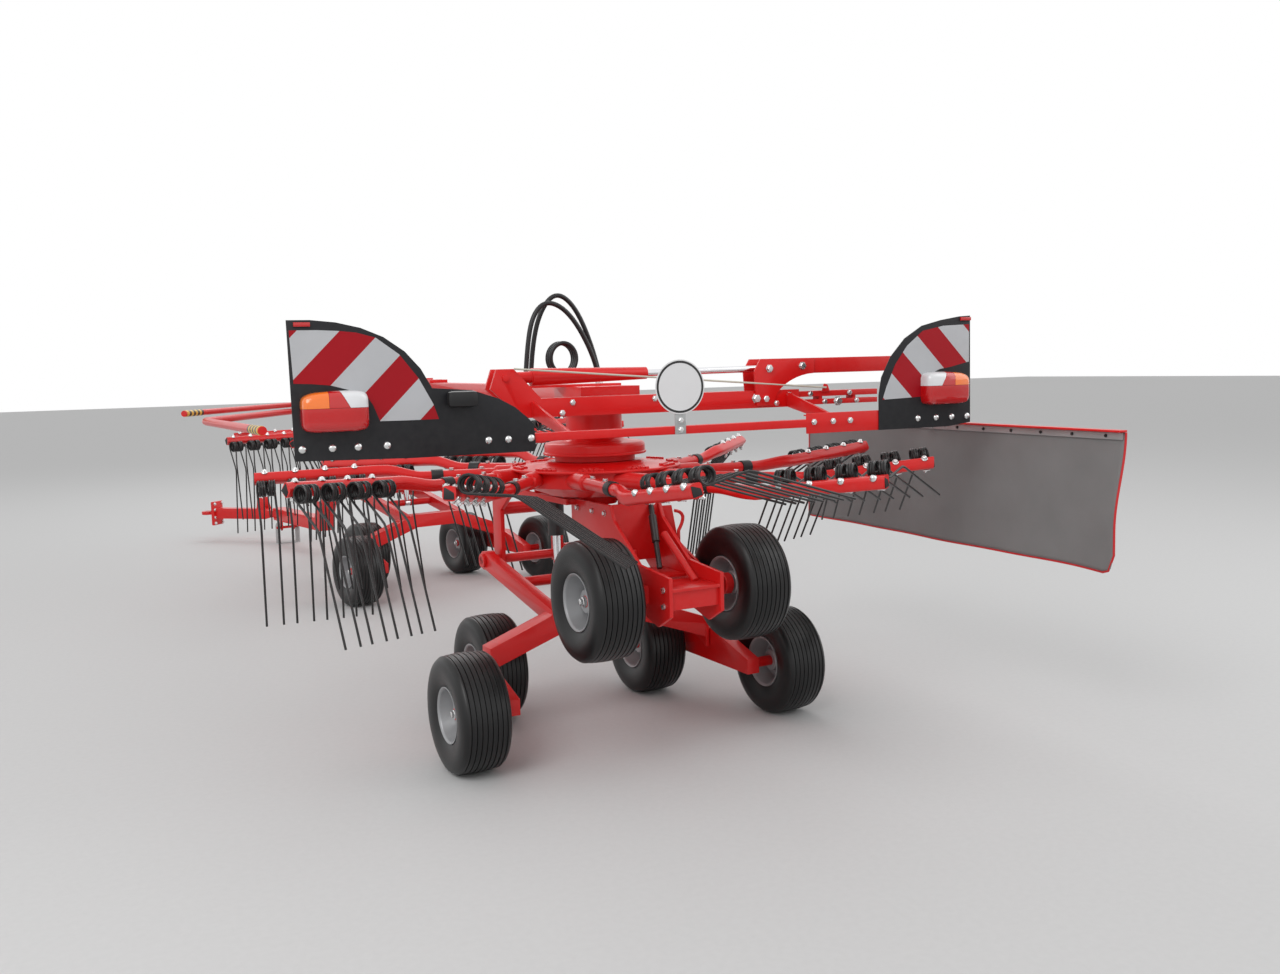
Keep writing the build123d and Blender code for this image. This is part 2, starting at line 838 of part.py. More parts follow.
with BuildPart() as curtain_rod:
    with BuildSketch(facing_back(cylinder, eye_reach, 15, 0)):
        Circle(26)
    extrude(amount=30)
    with BuildSketch(along(barrel_end - 60)):
        Circle(curtain_rod_radius)
    extrude(amount=eye_reach - barrel_end + 60)
save(curtain_rod.part, "curtain_cylinder_rod")

# Light bar on two stays behind the cross beam, with the right panel's carrier plate
panel_y = bar_y - bar_depth / 2
with BuildPart() as light_bar:
    with BuildSketch(facing_back(rear_frame, 0, bar_y + bar_depth / 2, 0)):
        with Locations(((bar_left + bar_right) / 2, (bar_bottom + bar_top) / 2)):
            Rectangle(bar_right - bar_left, bar_top - bar_bottom)
    extrude(amount=bar_depth)
    with BuildSketch(facing_back(rear_frame, 0, panel_y + 8, 0)):
        with Locations(((carrier_left + carrier_right) / 2, (bar_bottom + bar_top) / 2)):
            Rectangle(carrier_right - carrier_left, carrier_height)
    extrude(amount=8)
    for stay_x in (stay_left, stay_right):
        with BuildSketch(facing_right(rear_frame, stay_x, 0, 0)):
            with BuildLine():
                Polyline(
                    (beam_back_y - seat, beam_bottom),
                    (beam_back_y - seat, beam_top - 10),
                    (bar_y, bar_top),
                    (bar_y, bar_bottom),
                    close=True,
                )
            make_face()
        extrude(amount=12)
save(light_bar.part, "light_bar")


# Warning panels with a round inner corner, the left one with a tail towards the middle
def warning_panel(side, name):
    inner = panel_outer - panel_width
    with BuildPart() as panel:
        with BuildSketch(facing_back(rear_frame, 0, panel_y - seat, 0)):
            with BuildLine():
                Polyline(
                    (side * inner, panel_bottom + 120),
                    (side * inner, panel_bottom),
                    (side * panel_outer, panel_bottom),
                    (side * panel_outer, panel_top),
                    (side * (panel_outer - 60), panel_top),
                )
                ThreePointArc(
                    (side * (panel_outer - 60), panel_top),
                    (side * (panel_outer - 310), panel_top - 105),
                    (side * inner, panel_bottom + 120),
                )
            make_face()
            if side < 0:
                with BuildLine():
                    Polyline(
                        (tail_end, panel_top - 357),
                        (tail_end, panel_bottom),
                        (-inner, panel_bottom),
                        (-inner, tail_top),
                    )
                    ThreePointArc((-inner, tail_top), (-690, tail_top - 38), (tail_end, panel_top - 357))
                make_face()
        extrude(amount=panel_thickness)
    save(panel.part, name)


for side_name, side in sides:
    warning_panel(side, f"warning_panel_{side_name}")
    lamp_y = panel_y - 2 * seat - panel_thickness
    with BuildPart() as lamp:
        with BuildSketch(facing_back(rear_frame, side * (panel_outer - lamp_inset), lamp_y, lamp_z)):
            RectangleRounded(lamp_width, lamp_height, 30)
        extrude(amount=lamp_depth)
        fillet(lamp.faces().sort_by(Axis.Y)[0].edges(), radius=14)
    save(lamp.part, f"tail_lamp_{side_name}")

# Round sign on a strap behind the light bar
with BuildPart() as sign:
    with BuildSketch(facing_back(rear_frame, sign_x, panel_y - seat, (bar_bottom + sign_z) / 2)):
        Rectangle(44, sign_z - bar_bottom)
    extrude(amount=5)
    with BuildSketch(facing_back(rear_frame, sign_x, panel_y - seat - 5, sign_z)):
        Circle(sign_radius)
    extrude(amount=3)
save(sign.part, "round_sign")

# Guard hoop left of the front rotor, from the front beam round the arms' tips
guard_root = (-boom_width / 2 - seat, guard_root_y)
guard_bends = ((-230, guard_root_y), (-1250, 1080), (-1560, 480), (-1500, 120))
with BuildPart() as guard:
    hoop_points = [level(front_frame, x, y, guard_z).origin for x, y in (guard_root,) + guard_bends]
    with BuildLine() as hoop_path:
        FilletPolyline(*hoop_points, radius=180)
    with BuildSketch(Plane(origin=hoop_path.line @ 0, z_dir=hoop_path.line % 0)):
        Circle(guard_radius)
    sweep(path=hoop_path.line)
save(guard.part, "rotor_guard")

# Two hoses that arch over the rear boom's end, from one screw fitting to another
hose_foot_z = hose_plate_top + 30
hose_routes = (
    (
        (-252, 62, 0),
        (-246, 62, 100),
        (-226, 60, 215),
        (-190, 58, 310),
        (-132, 58, 349),
        (-62, 58, 312),
        (4, 60, 190),
        (44, 60, 70),
        (56, 60, 0),
    ),
    (
        (-290, 18, 0),
        (-282, 18, 110),
        (-268, 20, 205),
        (-240, 22, 285),
        (-185, 22, 303),
        (-98, 22, 280),
        (-24, 20, 180),
        (20, 18, 75),
        (34, 18, 0),
    ),
)


def arc_radii(points):
    """Radius at each bend: 0.45 of the shorter run over the tangent of half the turn."""
    radii = []
    for before, corner, after in zip(points, points[1:], points[2:]):
        first = corner - before
        second = after - corner
        half_turn = math.radians(first.get_angle(second)) / 2
        radii.append(0.45 * min(first.length, second.length) / math.tan(half_turn))
    return radii


hoses = []
for route in hose_routes:
    points = [level(rear_frame, x, y, hose_foot_z + z).origin for x, y, z in route]
    with BuildPart() as hose:
        with BuildLine() as hose_path:
            FilletPolyline(*points, radius=arc_radii(points))
        with BuildSketch(Plane(origin=hose_path.line @ 0, z_dir=hose_path.line % 0)):
            Circle(hose_radius)
        sweep(path=hose_path.line)
        for x, y, z in (route[0], route[-1]):
            with BuildSketch(level(rear_frame, x, y, hose_plate_top + seat)):
                Circle(hose_radius + 4)
            extrude(amount=hose_foot_z - hose_plate_top - seat)
    hoses.append(hose.part)
save(Compound(hoses), "hydraulic_hoses")
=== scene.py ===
import math

import bmesh
import bpy
from mathutils import Matrix, Vector


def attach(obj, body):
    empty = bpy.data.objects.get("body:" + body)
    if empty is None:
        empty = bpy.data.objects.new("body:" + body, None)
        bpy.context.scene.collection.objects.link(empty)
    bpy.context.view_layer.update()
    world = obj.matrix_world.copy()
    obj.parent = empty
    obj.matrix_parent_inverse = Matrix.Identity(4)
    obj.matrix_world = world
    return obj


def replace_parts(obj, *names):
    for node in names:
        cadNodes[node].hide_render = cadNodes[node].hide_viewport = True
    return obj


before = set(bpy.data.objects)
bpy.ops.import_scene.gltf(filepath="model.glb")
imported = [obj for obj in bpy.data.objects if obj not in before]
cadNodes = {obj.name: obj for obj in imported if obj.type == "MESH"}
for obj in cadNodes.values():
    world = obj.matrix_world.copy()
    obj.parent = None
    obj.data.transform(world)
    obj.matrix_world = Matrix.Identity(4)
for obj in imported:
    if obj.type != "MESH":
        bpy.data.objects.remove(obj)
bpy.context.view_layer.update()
print("frame loaded,", len(cadNodes), "nodes")

# Places of the two rotors, the rear chassis and the drawbar, in metres and degrees
layout = {"rearX": -0.1187, "rearY": -2.81473, "frontShift": 0.2, "spacing": 3.57, "frontYaw": 12.8, "truckYaw": 4.3,
    "hingeAhead": 3.06, "drawbarYaw": 37.0, "armHeight": 1.075}


def turnBy(degrees, axis="Z"):
    return Matrix.Rotation(math.radians(degrees), 4, axis)


def spot(x, y, z=0.0, yaw=0.0):
    return Matrix.Translation((x, y, z)) @ turnBy(yaw)


def newObject(name, data):
    obj = bpy.data.objects.new(name, data)
    bpy.context.scene.collection.objects.link(obj)
    return obj


def setInputs(node, values):
    for label, value in values.items():
        node.inputs[label].default_value = value


rearPlace = spot(layout["rearX"], layout["rearY"])
truckPlace = rearPlace @ spot(0, 0, 0, layout["truckYaw"])
frontPlace = spot(layout["rearX"] + layout["frontShift"], layout["rearY"] + layout["spacing"], 0, layout["frontYaw"])
drawbarPlace = frontPlace @ spot(0, layout["hingeAhead"], 0, layout["drawbarYaw"])

# Camera at the photograph's place
cameraView = {"offset": (-1.87179, -4.59952, 1.52), "pitch": 5.9, "roll": 1.47, "heading": (0.4117, 0.9113),
    "lens": 33.0}
pitch = math.radians(cameraView["pitch"])
roll = math.radians(cameraView["roll"])
ahead = Vector((*cameraView["heading"], 0)).normalized()
rightward = ahead.cross(Vector((0, 0, 1)))
sight = ahead * math.cos(pitch) - Vector((0, 0, math.sin(pitch)))
upward = rightward.cross(sight)
cameraRight = rightward * math.cos(roll) - upward * math.sin(roll)
cameraUp = rightward * math.sin(roll) + upward * math.cos(roll)
cameraData = bpy.data.cameras.new("camera")
cameraData.lens = cameraView["lens"]
cameraData.sensor_width = 36
camera = newObject("camera", cameraData)
turned = Matrix((cameraRight, cameraUp, -sight)).transposed().to_4x4()
camera.matrix_world = Matrix.Translation(rearPlace.translation + Vector(cameraView["offset"])) @ turned
bpy.context.scene.camera = camera
print("camera set")


# Shader groups: grain for the bump, wear for the edges and a film of dust
def newGroup(name, inputs, outputs):
    group = bpy.data.node_groups.new(name, "ShaderNodeTree")
    for label, kind, value in inputs:
        socket = group.interface.new_socket(label, in_out="INPUT", socket_type=kind)
        socket.default_value = value
    for label, kind in outputs:
        group.interface.new_socket(label, in_out="OUTPUT", socket_type=kind)
    return group, group.nodes.new("NodeGroupInput"), group.nodes.new("NodeGroupOutput")


def feed(tree, socket, value):
    if isinstance(value, bpy.types.NodeSocket):
        tree.links.new(value, socket)
    else:
        socket.default_value = value


def addMath(tree, operation, first, second, clamp=False):
    node = tree.nodes.new("ShaderNodeMath")
    node.operation = operation
    node.use_clamp = clamp
    for socket, value in zip(node.inputs, (first, second)):
        feed(tree, socket, value)
    return node.outputs[0]


def addMix(tree, factor, first, second):
    node = tree.nodes.new("ShaderNodeMix")
    node.data_type = "RGBA"
    for place, value in (("Factor", factor), (6, first), (7, second)):
        feed(tree, node.inputs[place], value)
    return node.outputs[2]


def grainGroup():
    floatKind = "NodeSocketFloat"
    group, given, result = newGroup("surfaceGrain", (("Scale", floatKind, 300.0), ("Detail", floatKind, 3.0)),
        (("Height", floatKind), ("Patches", floatKind)))
    place = group.nodes.new("ShaderNodeTexCoord")
    fine = group.nodes.new("ShaderNodeTexNoise")
    coarse = group.nodes.new("ShaderNodeTexNoise")
    setInputs(coarse, {"Scale": 5.0, "Detail": 4.0})
    for noise in (fine, coarse):
        group.links.new(place.outputs["Object"], noise.inputs["Vector"])
    group.links.new(given.outputs["Scale"], fine.inputs["Scale"])
    group.links.new(given.outputs["Detail"], fine.inputs["Detail"])
    group.links.new(fine.outputs["Fac"], result.inputs["Height"])
    group.links.new(coarse.outputs["Fac"], result.inputs["Patches"])
    return group


def wearGroup():
    floatKind = "NodeSocketFloat"
    group, given, result = newGroup("edgeWear", (("Amount", floatKind, 0.3), ("Dust", floatKind, 0.2)),
        (("Worn", floatKind), ("Dusty", floatKind)))
    shape = group.nodes.new("ShaderNodeNewGeometry")
    place = group.nodes.new("ShaderNodeTexCoord")
    noise = group.nodes.new("ShaderNodeTexNoise")
    setInputs(noise, {"Scale": 38.0, "Detail": 5.0})
    group.links.new(place.outputs["Object"], noise.inputs["Vector"])
    sharp = addMath(group, "SUBTRACT", shape.outputs["Pointiness"], 0.515)
    edge = addMath(group, "MULTIPLY", sharp, 14.0, True)
    broken = addMath(group, "MULTIPLY", edge, noise.outputs["Fac"])
    group.links.new(addMath(group, "MULTIPLY", broken, given.outputs["Amount"], True), result.inputs["Worn"])
    facing = group.nodes.new("ShaderNodeSeparateXYZ")
    group.links.new(shape.outputs["Normal"], facing.inputs[0])
    flat = addMath(group, "MULTIPLY", facing.outputs[2], noise.outputs["Fac"], True)
    group.links.new(addMath(group, "MULTIPLY", flat, given.outputs["Dust"], True), result.inputs["Dusty"])
    return group


surfaceGrain = grainGroup()
edgeWear = wearGroup()


wornColor, dustColor = (0.35, 0.33, 0.32, 1), (0.42, 0.41, 0.4, 1)


def newMaterial(name, color, rough, grain, bump, wear, dust, metal=0.0, coat=0.0, shift=0.08, gloss=0.5):
    material = bpy.data.materials.new(name)
    material.use_nodes = True
    tree = material.node_tree
    shader = tree.nodes["Principled BSDF"]
    grainNode = tree.nodes.new("ShaderNodeGroup")
    grainNode.node_tree = surfaceGrain
    setInputs(grainNode, {"Scale": grain})
    wearNode = tree.nodes.new("ShaderNodeGroup")
    wearNode.node_tree = edgeWear
    setInputs(wearNode, {"Amount": wear, "Dust": dust})
    deep = tuple(channel * (1 - shift) for channel in color[:3]) + (1,)
    pale = tuple(min(1, channel * (1 + shift)) for channel in color[:3]) + (1,)
    tinted = addMix(tree, grainNode.outputs["Patches"], deep, pale)
    worn = addMix(tree, wearNode.outputs["Worn"], tinted, wornColor)
    dusty = addMix(tree, wearNode.outputs["Dusty"], worn, dustColor)
    tree.links.new(dusty, shader.inputs["Base Color"])
    spread = addMath(tree, "MULTIPLY", grainNode.outputs["Patches"], 0.14)
    tree.links.new(addMath(tree, "ADD", spread, max(0.0, rough - 0.07)), shader.inputs["Roughness"])
    setInputs(shader, {"Metallic": metal, "Coat Weight": coat, "Coat Roughness": 0.08, "Specular IOR Level": gloss})
    bumpNode = tree.nodes.new("ShaderNodeBump")
    setInputs(bumpNode, {"Strength": bump * 10, "Distance": 0.0005})
    tree.links.new(grainNode.outputs["Height"], bumpNode.inputs["Height"])
    tree.links.new(bumpNode.outputs["Normal"], shader.inputs["Normal"])
    return material


# Finishes: colour, roughness, grain, bump, wear and dust
redPaint = newMaterial("redGlossPaint", (0.72, 0.006, 0.006), 0.34, 900, 0.008, 0.1, 0.01, coat=0.15, gloss=0.32)
tyreRubber = newMaterial("tyreRubber", (0.006, 0.006, 0.0065), 0.36, 700, 0.05, 0.06, 0.012, gloss=0.4)
rimSilver = newMaterial("silverRimPaint", (0.36, 0.365, 0.375), 0.42, 900, 0.01, 0.1, 0.08, metal=0.35)
springBlack = newMaterial("coatedSpringSteel", (0.006, 0.006, 0.007), 0.34, 900, 0.02, 0.1, 0.01, gloss=0.38)
zincSteel = newMaterial("galvanisedSteel", (0.42, 0.43, 0.43), 0.45, 160, 0.02, 0.0, 0.05, metal=0.45, shift=0.25)
zincBolt = newMaterial("zincBolt", (0.72, 0.72, 0.72), 0.24, 500, 0.01, 0.0, 0.0, metal=0.95)
chromeRod = newMaterial("chromeRod", (0.82, 0.82, 0.84), 0.1, 900, 0.003, 0.0, 0.0, metal=1.0, shift=0.02)
panelBlack = newMaterial("blackPanelSheet", (0.008, 0.0085, 0.011), 0.48, 1200, 0.03, 0.1, 0.01, gloss=0.3)
blackPaint = newMaterial("blackPaint", (0.01, 0.01, 0.011), 0.35, 900, 0.01, 0.1, 0.02, coat=0.1, gloss=0.4)
blackPlastic = newMaterial("blackPlastic", (0.008, 0.008, 0.009), 0.45, 1500, 0.04, 0.03, 0.02, gloss=0.4)
hoseRubber = newMaterial("hoseRubber", (0.008, 0.008, 0.009), 0.38, 1400, 0.04, 0.03, 0.02, gloss=0.45)
signWhite = newMaterial("signWhiteSheet", (0.78, 0.78, 0.79), 0.35, 1200, 0.01, 0.05, 0.03, shift=0.03)
creamPaint = newMaterial("creamPaint", (0.62, 0.6, 0.5), 0.4, 900, 0.01, 0.2, 0.05)
yellowBand = newMaterial("yellowBand", (0.8, 0.5, 0.05), 0.4, 900, 0.01, 0.1, 0.03)
reflexWhite = newMaterial("reflexWhite", (0.5, 0.51, 0.53), 0.4, 2400, 0.12, 0.0, 0.0, shift=0.1)
reflexRed = newMaterial("reflexRed", (0.36, 0.003, 0.01), 0.4, 2400, 0.05, 0.0, 0.0, gloss=0.25)
lampAmber = newMaterial("amberLens", (0.95, 0.19, 0.01), 0.14, 420, 0.06, 0.0, 0.0, coat=0.8)
lampRed = newMaterial("redLens", (0.55, 0.004, 0.006), 0.14, 420, 0.06, 0.0, 0.0, coat=0.8)
lampClear = newMaterial("clearLens", (0.75, 0.76, 0.78), 0.12, 420, 0.06, 0.0, 0.0, coat=0.8)
clothGrey = newMaterial("coatedCurtainCloth", (0.225, 0.223, 0.222), 0.62, 1600, 0.1, 0.02, 0.06, shift=0.16, gloss=0.4)
clothRed = newMaterial("redPipingCloth", (0.62, 0.006, 0.01), 0.55, 1600, 0.08, 0.03, 0.02)
print("materials ready")


# Small makers of meshes
def linkPiece(name, mesh, finish, body=None, smooth=True):
    piece = newObject(name, mesh)
    mesh.materials.clear()
    mesh.materials.append(finish)
    for face in mesh.polygons:
        face.use_smooth = smooth
    if smooth:
        mesh.set_sharp_from_angle(angle=math.radians(38))
    if body:
        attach(piece, body)
    return piece


def meshOf(obj):
    evaluated = obj.evaluated_get(bpy.context.evaluated_depsgraph_get())
    mesh = bpy.data.meshes.new_from_object(evaluated)
    bpy.data.objects.remove(obj)
    return mesh


def wireMesh(points, radius, sides, kind="POLY"):
    curve = bpy.data.curves.new("wire", "CURVE")
    curve.dimensions = "3D"
    curve.bevel_depth = radius
    curve.bevel_resolution = sides
    curve.use_fill_caps = True
    spline = curve.splines.new(kind)
    spline.points.add(len(points) - 1)
    for target, point in zip(spline.points, points):
        target.co = (*point, 1)
    if kind == "NURBS":
        spline.order_u = 3
        spline.use_endpoint_u = True
        spline.resolution_u = 6
    return meshOf(newObject("wire", curve))


def finished(build, name, facing=False):
    if facing:
        bmesh.ops.recalc_face_normals(build, faces=build.faces[:])
    mesh = bpy.data.meshes.new(name)
    build.to_mesh(mesh)
    build.free()
    return mesh


def joined(meshes):
    build = bmesh.new()
    for mesh in meshes:
        build.from_mesh(mesh)
    return finished(build, "joined")


def placed(mesh, place):
    mesh.transform(place)
    return mesh


def blockMesh(sizeX, sizeY, sizeZ, bevel=0.002, center=(0, 0, 0)):
    build = bmesh.new()
    bmesh.ops.create_cube(build, size=1, matrix=Matrix.Translation(center) @ Matrix.Diagonal((sizeX, sizeY, sizeZ, 1)))
    if bevel:
        bmesh.ops.bevel(build, geom=build.edges[:], offset=bevel, segments=2, affect="EDGES", profile=0.6)
    return finished(build, "block")


# A profile of (radius, height) turned about the Z axis
def turnedMesh(profile, steps=24):
    build = bmesh.new()
    rings = []
    for radius, height in profile:
        if radius < 1e-6:
            rings.append([build.verts.new((0, 0, height))])
        else:
            angles = [2 * math.pi * i / steps for i in range(steps)]
            rings.append([build.verts.new((radius * math.cos(a), radius * math.sin(a), height)) for a in angles])
    for low, high in zip(rings, rings[1:]):
        for i in range(steps):
            j = (i + 1) % steps
            if len(low) == 1 and len(high) == 1:
                continue
            if len(low) == 1:
                build.faces.new((low[0], high[j], high[i]))
            elif len(high) == 1:
                build.faces.new((low[i], low[j], high[0]))
            else:
                build.faces.new((low[i], low[j], high[j], high[i]))
    return finished(build, "turned", True)


# Geometry Nodes: one shape at every point, turned by the point's own attribute
def repeatTree():
    tree = bpy.data.node_groups.new("repeatAtPoints", "GeometryNodeTree")
    for label, kind in (("Points", "Geometry"), ("Shape", "Object"), ("Finish", "Material"), ("Size", "Float")):
        tree.interface.new_socket(label, in_out="INPUT", socket_type="NodeSocket" + kind)
    tree.interface.new_socket("Geometry", in_out="OUTPUT", socket_type="NodeSocketGeometry")
    given = tree.nodes.new("NodeGroupInput")
    result = tree.nodes.new("NodeGroupOutput")
    shape = tree.nodes.new("GeometryNodeObjectInfo")
    turn = tree.nodes.new("GeometryNodeInputNamedAttribute")
    turn.data_type = "FLOAT_VECTOR"
    turn.inputs["Name"].default_value = "turn"
    copies = tree.nodes.new("GeometryNodeInstanceOnPoints")
    real = tree.nodes.new("GeometryNodeRealizeInstances")
    finish = tree.nodes.new("GeometryNodeSetMaterial")
    for start, end in ((given.outputs["Shape"], shape.inputs["Object"]),
                       (given.outputs["Points"], copies.inputs["Points"]),
                       (shape.outputs["Geometry"], copies.inputs["Instance"]),
                       (turn.outputs[0], copies.inputs["Rotation"]), (given.outputs["Size"], copies.inputs["Scale"]),
                       (copies.outputs[0], real.inputs[0]), (real.outputs[0], finish.inputs["Geometry"]),
                       (given.outputs["Finish"], finish.inputs["Material"]), (finish.outputs[0], result.inputs[0])):
        tree.links.new(start, end)
    return tree


repeatAtPoints = repeatTree()


def repeated(name, shapeMesh, places, finish, body, size=1.0):
    points = bpy.data.meshes.new(name + "Points")
    points.from_pydata([tuple(place.translation) for place in places], [], [])
    turns = points.attributes.new("turn", "FLOAT_VECTOR", "POINT")
    for item, place in zip(turns.data, places):
        item.vector = tuple(place.to_euler())
    holder = newObject(name + "Points", points)
    source = newObject(name + "Shape", shapeMesh)
    modifier = holder.modifiers.new("repeat", "NODES")
    modifier.node_group = repeatAtPoints
    values = {"Shape": source, "Finish": finish, "Size": size}
    for item in repeatAtPoints.interface.items_tree:
        if item.name in values:
            modifier[item.identifier] = values[item.name]
    mesh = meshOf(holder)
    bpy.data.objects.remove(source)
    mesh.name = name
    return linkPiece(name, mesh, finish, body)


# Finishes of the CAD nodes that keep their shape
def finishNode(name, finish):
    mesh = cadNodes[name].data
    mesh.materials.clear()
    mesh.materials.append(finish)


plainFinishes = {"front_lift_barrel": blackPaint, "rear_lift_barrel": blackPaint, "front_lift_rod": chromeRod,
    "rear_lift_rod": chromeRod, "curtain_cylinder_rod": chromeRod, "parking_stand": zincSteel}
for nodeName in cadNodes:
    finishNode(nodeName, plainFinishes.get(nodeName, redPaint))
print("CAD nodes finished")


# Shapes placed in millimetres on a frame of the machine
def inMetres(*values):
    return [value * 0.001 for value in values]


def extruded(place, corners, push, bevel=2.5):
    build = bmesh.new()
    face = build.faces.new([build.verts.new(corner) for corner in corners])
    grown = bmesh.ops.extrude_face_region(build, geom=[face])
    bmesh.ops.translate(build, vec=push, verts=[v for v in grown["geom"] if isinstance(v, bmesh.types.BMVert)])
    bmesh.ops.recalc_face_normals(build, faces=build.faces[:])
    if bevel:
        sharp = [edge for edge in build.edges if edge.calc_face_angle(0) > 0.45]
        bmesh.ops.bevel(build, geom=sharp, offset=bevel * 0.001, segments=2, affect="EDGES", profile=0.6,
            clamp_overlap=True)
    build.transform(place)
    return finished(build, "extruded")


# A plate seen from the side: corners are (y, z), from x towards +x by thickness
def sidePlate(place, x, thickness, corners, bevel=2.5):
    return extruded(place, [inMetres(x, y, z) for y, z in corners], Vector((thickness * 0.001, 0, 0)), bevel)


# A plate seen from behind: corners are (x, z), from y backwards by thickness
def backPlate(place, y, thickness, corners, bevel=2.5):
    return extruded(place, [inMetres(x, y, z) for x, z in corners], Vector((0, -thickness * 0.001, 0)), bevel)


def slab(place, low, high, bevel=2.5):
    corners = ((low[0], low[2]), (high[0], low[2]), (high[0], high[2]), (low[0], high[2]))
    return backPlate(place, high[1], high[1] - low[1], corners, bevel)


def rod(place, start, end, radius, steps=16, round_=0.0):
    start, end = Vector(inMetres(*start)), Vector(inMetres(*end))
    length = (end - start).length
    soft = round_ * 0.001
    radius *= 0.001
    profile = ((0, 0), (radius - soft, 0), (radius, soft), (radius, length - soft), (radius - soft, length),
        (0, length))
    mesh = turnedMesh(profile if soft else (profile[0], (radius, 0), (radius, length), profile[-1]), steps)
    turn = (end - start).to_track_quat("Z", "Y").to_matrix().to_4x4()
    return placed(mesh, place @ Matrix.Translation(start) @ turn)


def slabs(place, table):
    return [slab(place, *sizes) for sizes in table]


def rods(place, table):
    return [rod(place, *sizes) for sizes in table]


def ringed(rings):
    build = bmesh.new()
    made = [[build.verts.new(point) for point in ring] for ring in rings]
    for first, second in zip(made, made[1:]):
        for i in range(len(first)):
            j = (i + 1) % len(first)
            build.faces.new((first[i], first[j], second[j], second[i]))
    build.faces.new(made[0][::-1])
    build.faces.new(made[-1])
    return finished(build, "ringed", True)


def softened(name, bevel, body):
    build = bmesh.new()
    build.from_mesh(cadNodes[name].data)
    bmesh.ops.remove_doubles(build, verts=build.verts[:], dist=0.00002)
    bmesh.ops.dissolve_limit(build, angle_limit=math.radians(1.5), verts=build.verts[:], edges=build.edges[:])
    sharp = [edge for edge in build.edges if edge.is_manifold and edge.calc_face_angle(0) > 0.6]
    bmesh.ops.bevel(build, geom=sharp, offset=bevel * 0.001, segments=2, affect="EDGES", profile=0.6,
        clamp_overlap=True)
    standsFor(name, name + "Soft", finished(build, name), redPaint, body)


hexHead = turnedMesh(((0, 0), (0.012, 0), (0.0125, 0.001), (0.0125, 0.0018), (0.0098, 0.002), (0.0098, 0.0085),
    (0.0085, 0.0095), (0, 0.0098)), 6)
domeHead = turnedMesh(((0, 0), (0.0135, 0), (0.0135, 0.002), (0.0118, 0.0055), (0.0075, 0.0088), (0, 0.0098)), 12)


def facingBack(place, x, y, z):
    return place @ Matrix.Translation(inMetres(x, y, z)) @ turnBy(90, "X")


def facingSide(place, x, y, z, side):
    return place @ Matrix.Translation(inMetres(x, y, z)) @ turnBy(90 * side, "Y")


def standsFor(node, name, mesh, finish, body):
    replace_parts(linkPiece(name, mesh, finish, body), node)


def fasteners(name, shape, places, body, finish=None, size=1.0):
    return repeated(name, shape.copy(), list(places), finish or zincBolt, body, size)


# Tine arms: a tube, a black sleeve, a bend and a rounded bar with its end plug.
# rolls, offset and bend are a fit to the photograph of the rear rotor, and droop was set arm by arm so that
# the tips fall on it. The front rotor repeats them, but for its second roll: 28 clears the lowered tyre at
# front_lift_max and is read from nothing. At other turns over a lowered chassis the tines still meet the tyres.
tine = {"wire": 0.0046, "coil": 0.0302, "turns": 3.25, "steps": 12, "outer": 0.0335, "inner": 0.003, "upper": 0.15,
    "lower": 0.413, "lean": 31.0, "coilAside": 0.032, "coilUnder": 0.056}
arm = {"count": 11, "tines": 4, "offset": 0.19, "start": 0.33, "barStart": 0.89, "barEnd": 1.383, "barRise": 0.035,
    "drop": 0.035, "sweep": 0.065, "tube": 0.024, "barWide": 0.0245, "barHigh": 0.0225, "square": 3.8, "bendFrom": 0.7,
    "bendLong": 0.17, "first": 0.99, "pitch": 0.12, "firstAngle": 171.0, "sleeve": 0.622, "tubeBolts": (0.455, 0.585),
    "tubeBoltUp": 0.023, "boltTurn": 48, "boltReach": 0.0265, "nutShift": 0.012,
    "rolls": (26, 49, 87, 104, 100, 85, 60, 40, 25, 15, 18),
    "frontRolls": (26, 28, 87, 104, 100, 85, 60, 40, 25, 15, 18), "droop": (0, 0, 0, 0.3, 1.6, 1.7, 0.8, 0, 0, 0, 0)}


# Sine and cosine pulled towards the corners: 1 is an ellipse, less is squarer
def squared(value, power):
    return math.copysign(abs(value) ** power, value)


def armRing(x, y, z, wide, high, square):
    ring = []
    for i in range(16):
        angle = 2 * math.pi * (i + 0.5) / 16
        power = 2.0 / square
        ring.append((x, y + wide * squared(math.cos(angle), power), z + high * squared(math.sin(angle), power)))
    return ring


def armShape():
    rings = [armRing(x, 0, 0, arm["tube"], arm["tube"], 2.0) for x in (arm["start"], 0.5, arm["bendFrom"])]
    for i in range(1, 10):
        part = i / 10
        ease = part * part * (3 - 2 * part)
        wide = arm["tube"] + (arm["barWide"] - arm["tube"]) * ease
        high = arm["tube"] + (arm["barHigh"] - arm["tube"]) * ease
        x = arm["bendFrom"] + arm["bendLong"] * part
        rings.append(armRing(x, 0, arm["barRise"] * ease, wide, high, 2.0 + (arm["square"] - 2.0) * ease))
    for part in (0.0, 0.5, 1.0):
        x = arm["barStart"] + (arm["barEnd"] - arm["barStart"]) * part
        z = arm["barRise"] - arm["drop"] * part
        rings.append(armRing(x, arm["sweep"] * part, z, arm["barWide"], arm["barHigh"], arm["square"]))
    return ringed(rings)


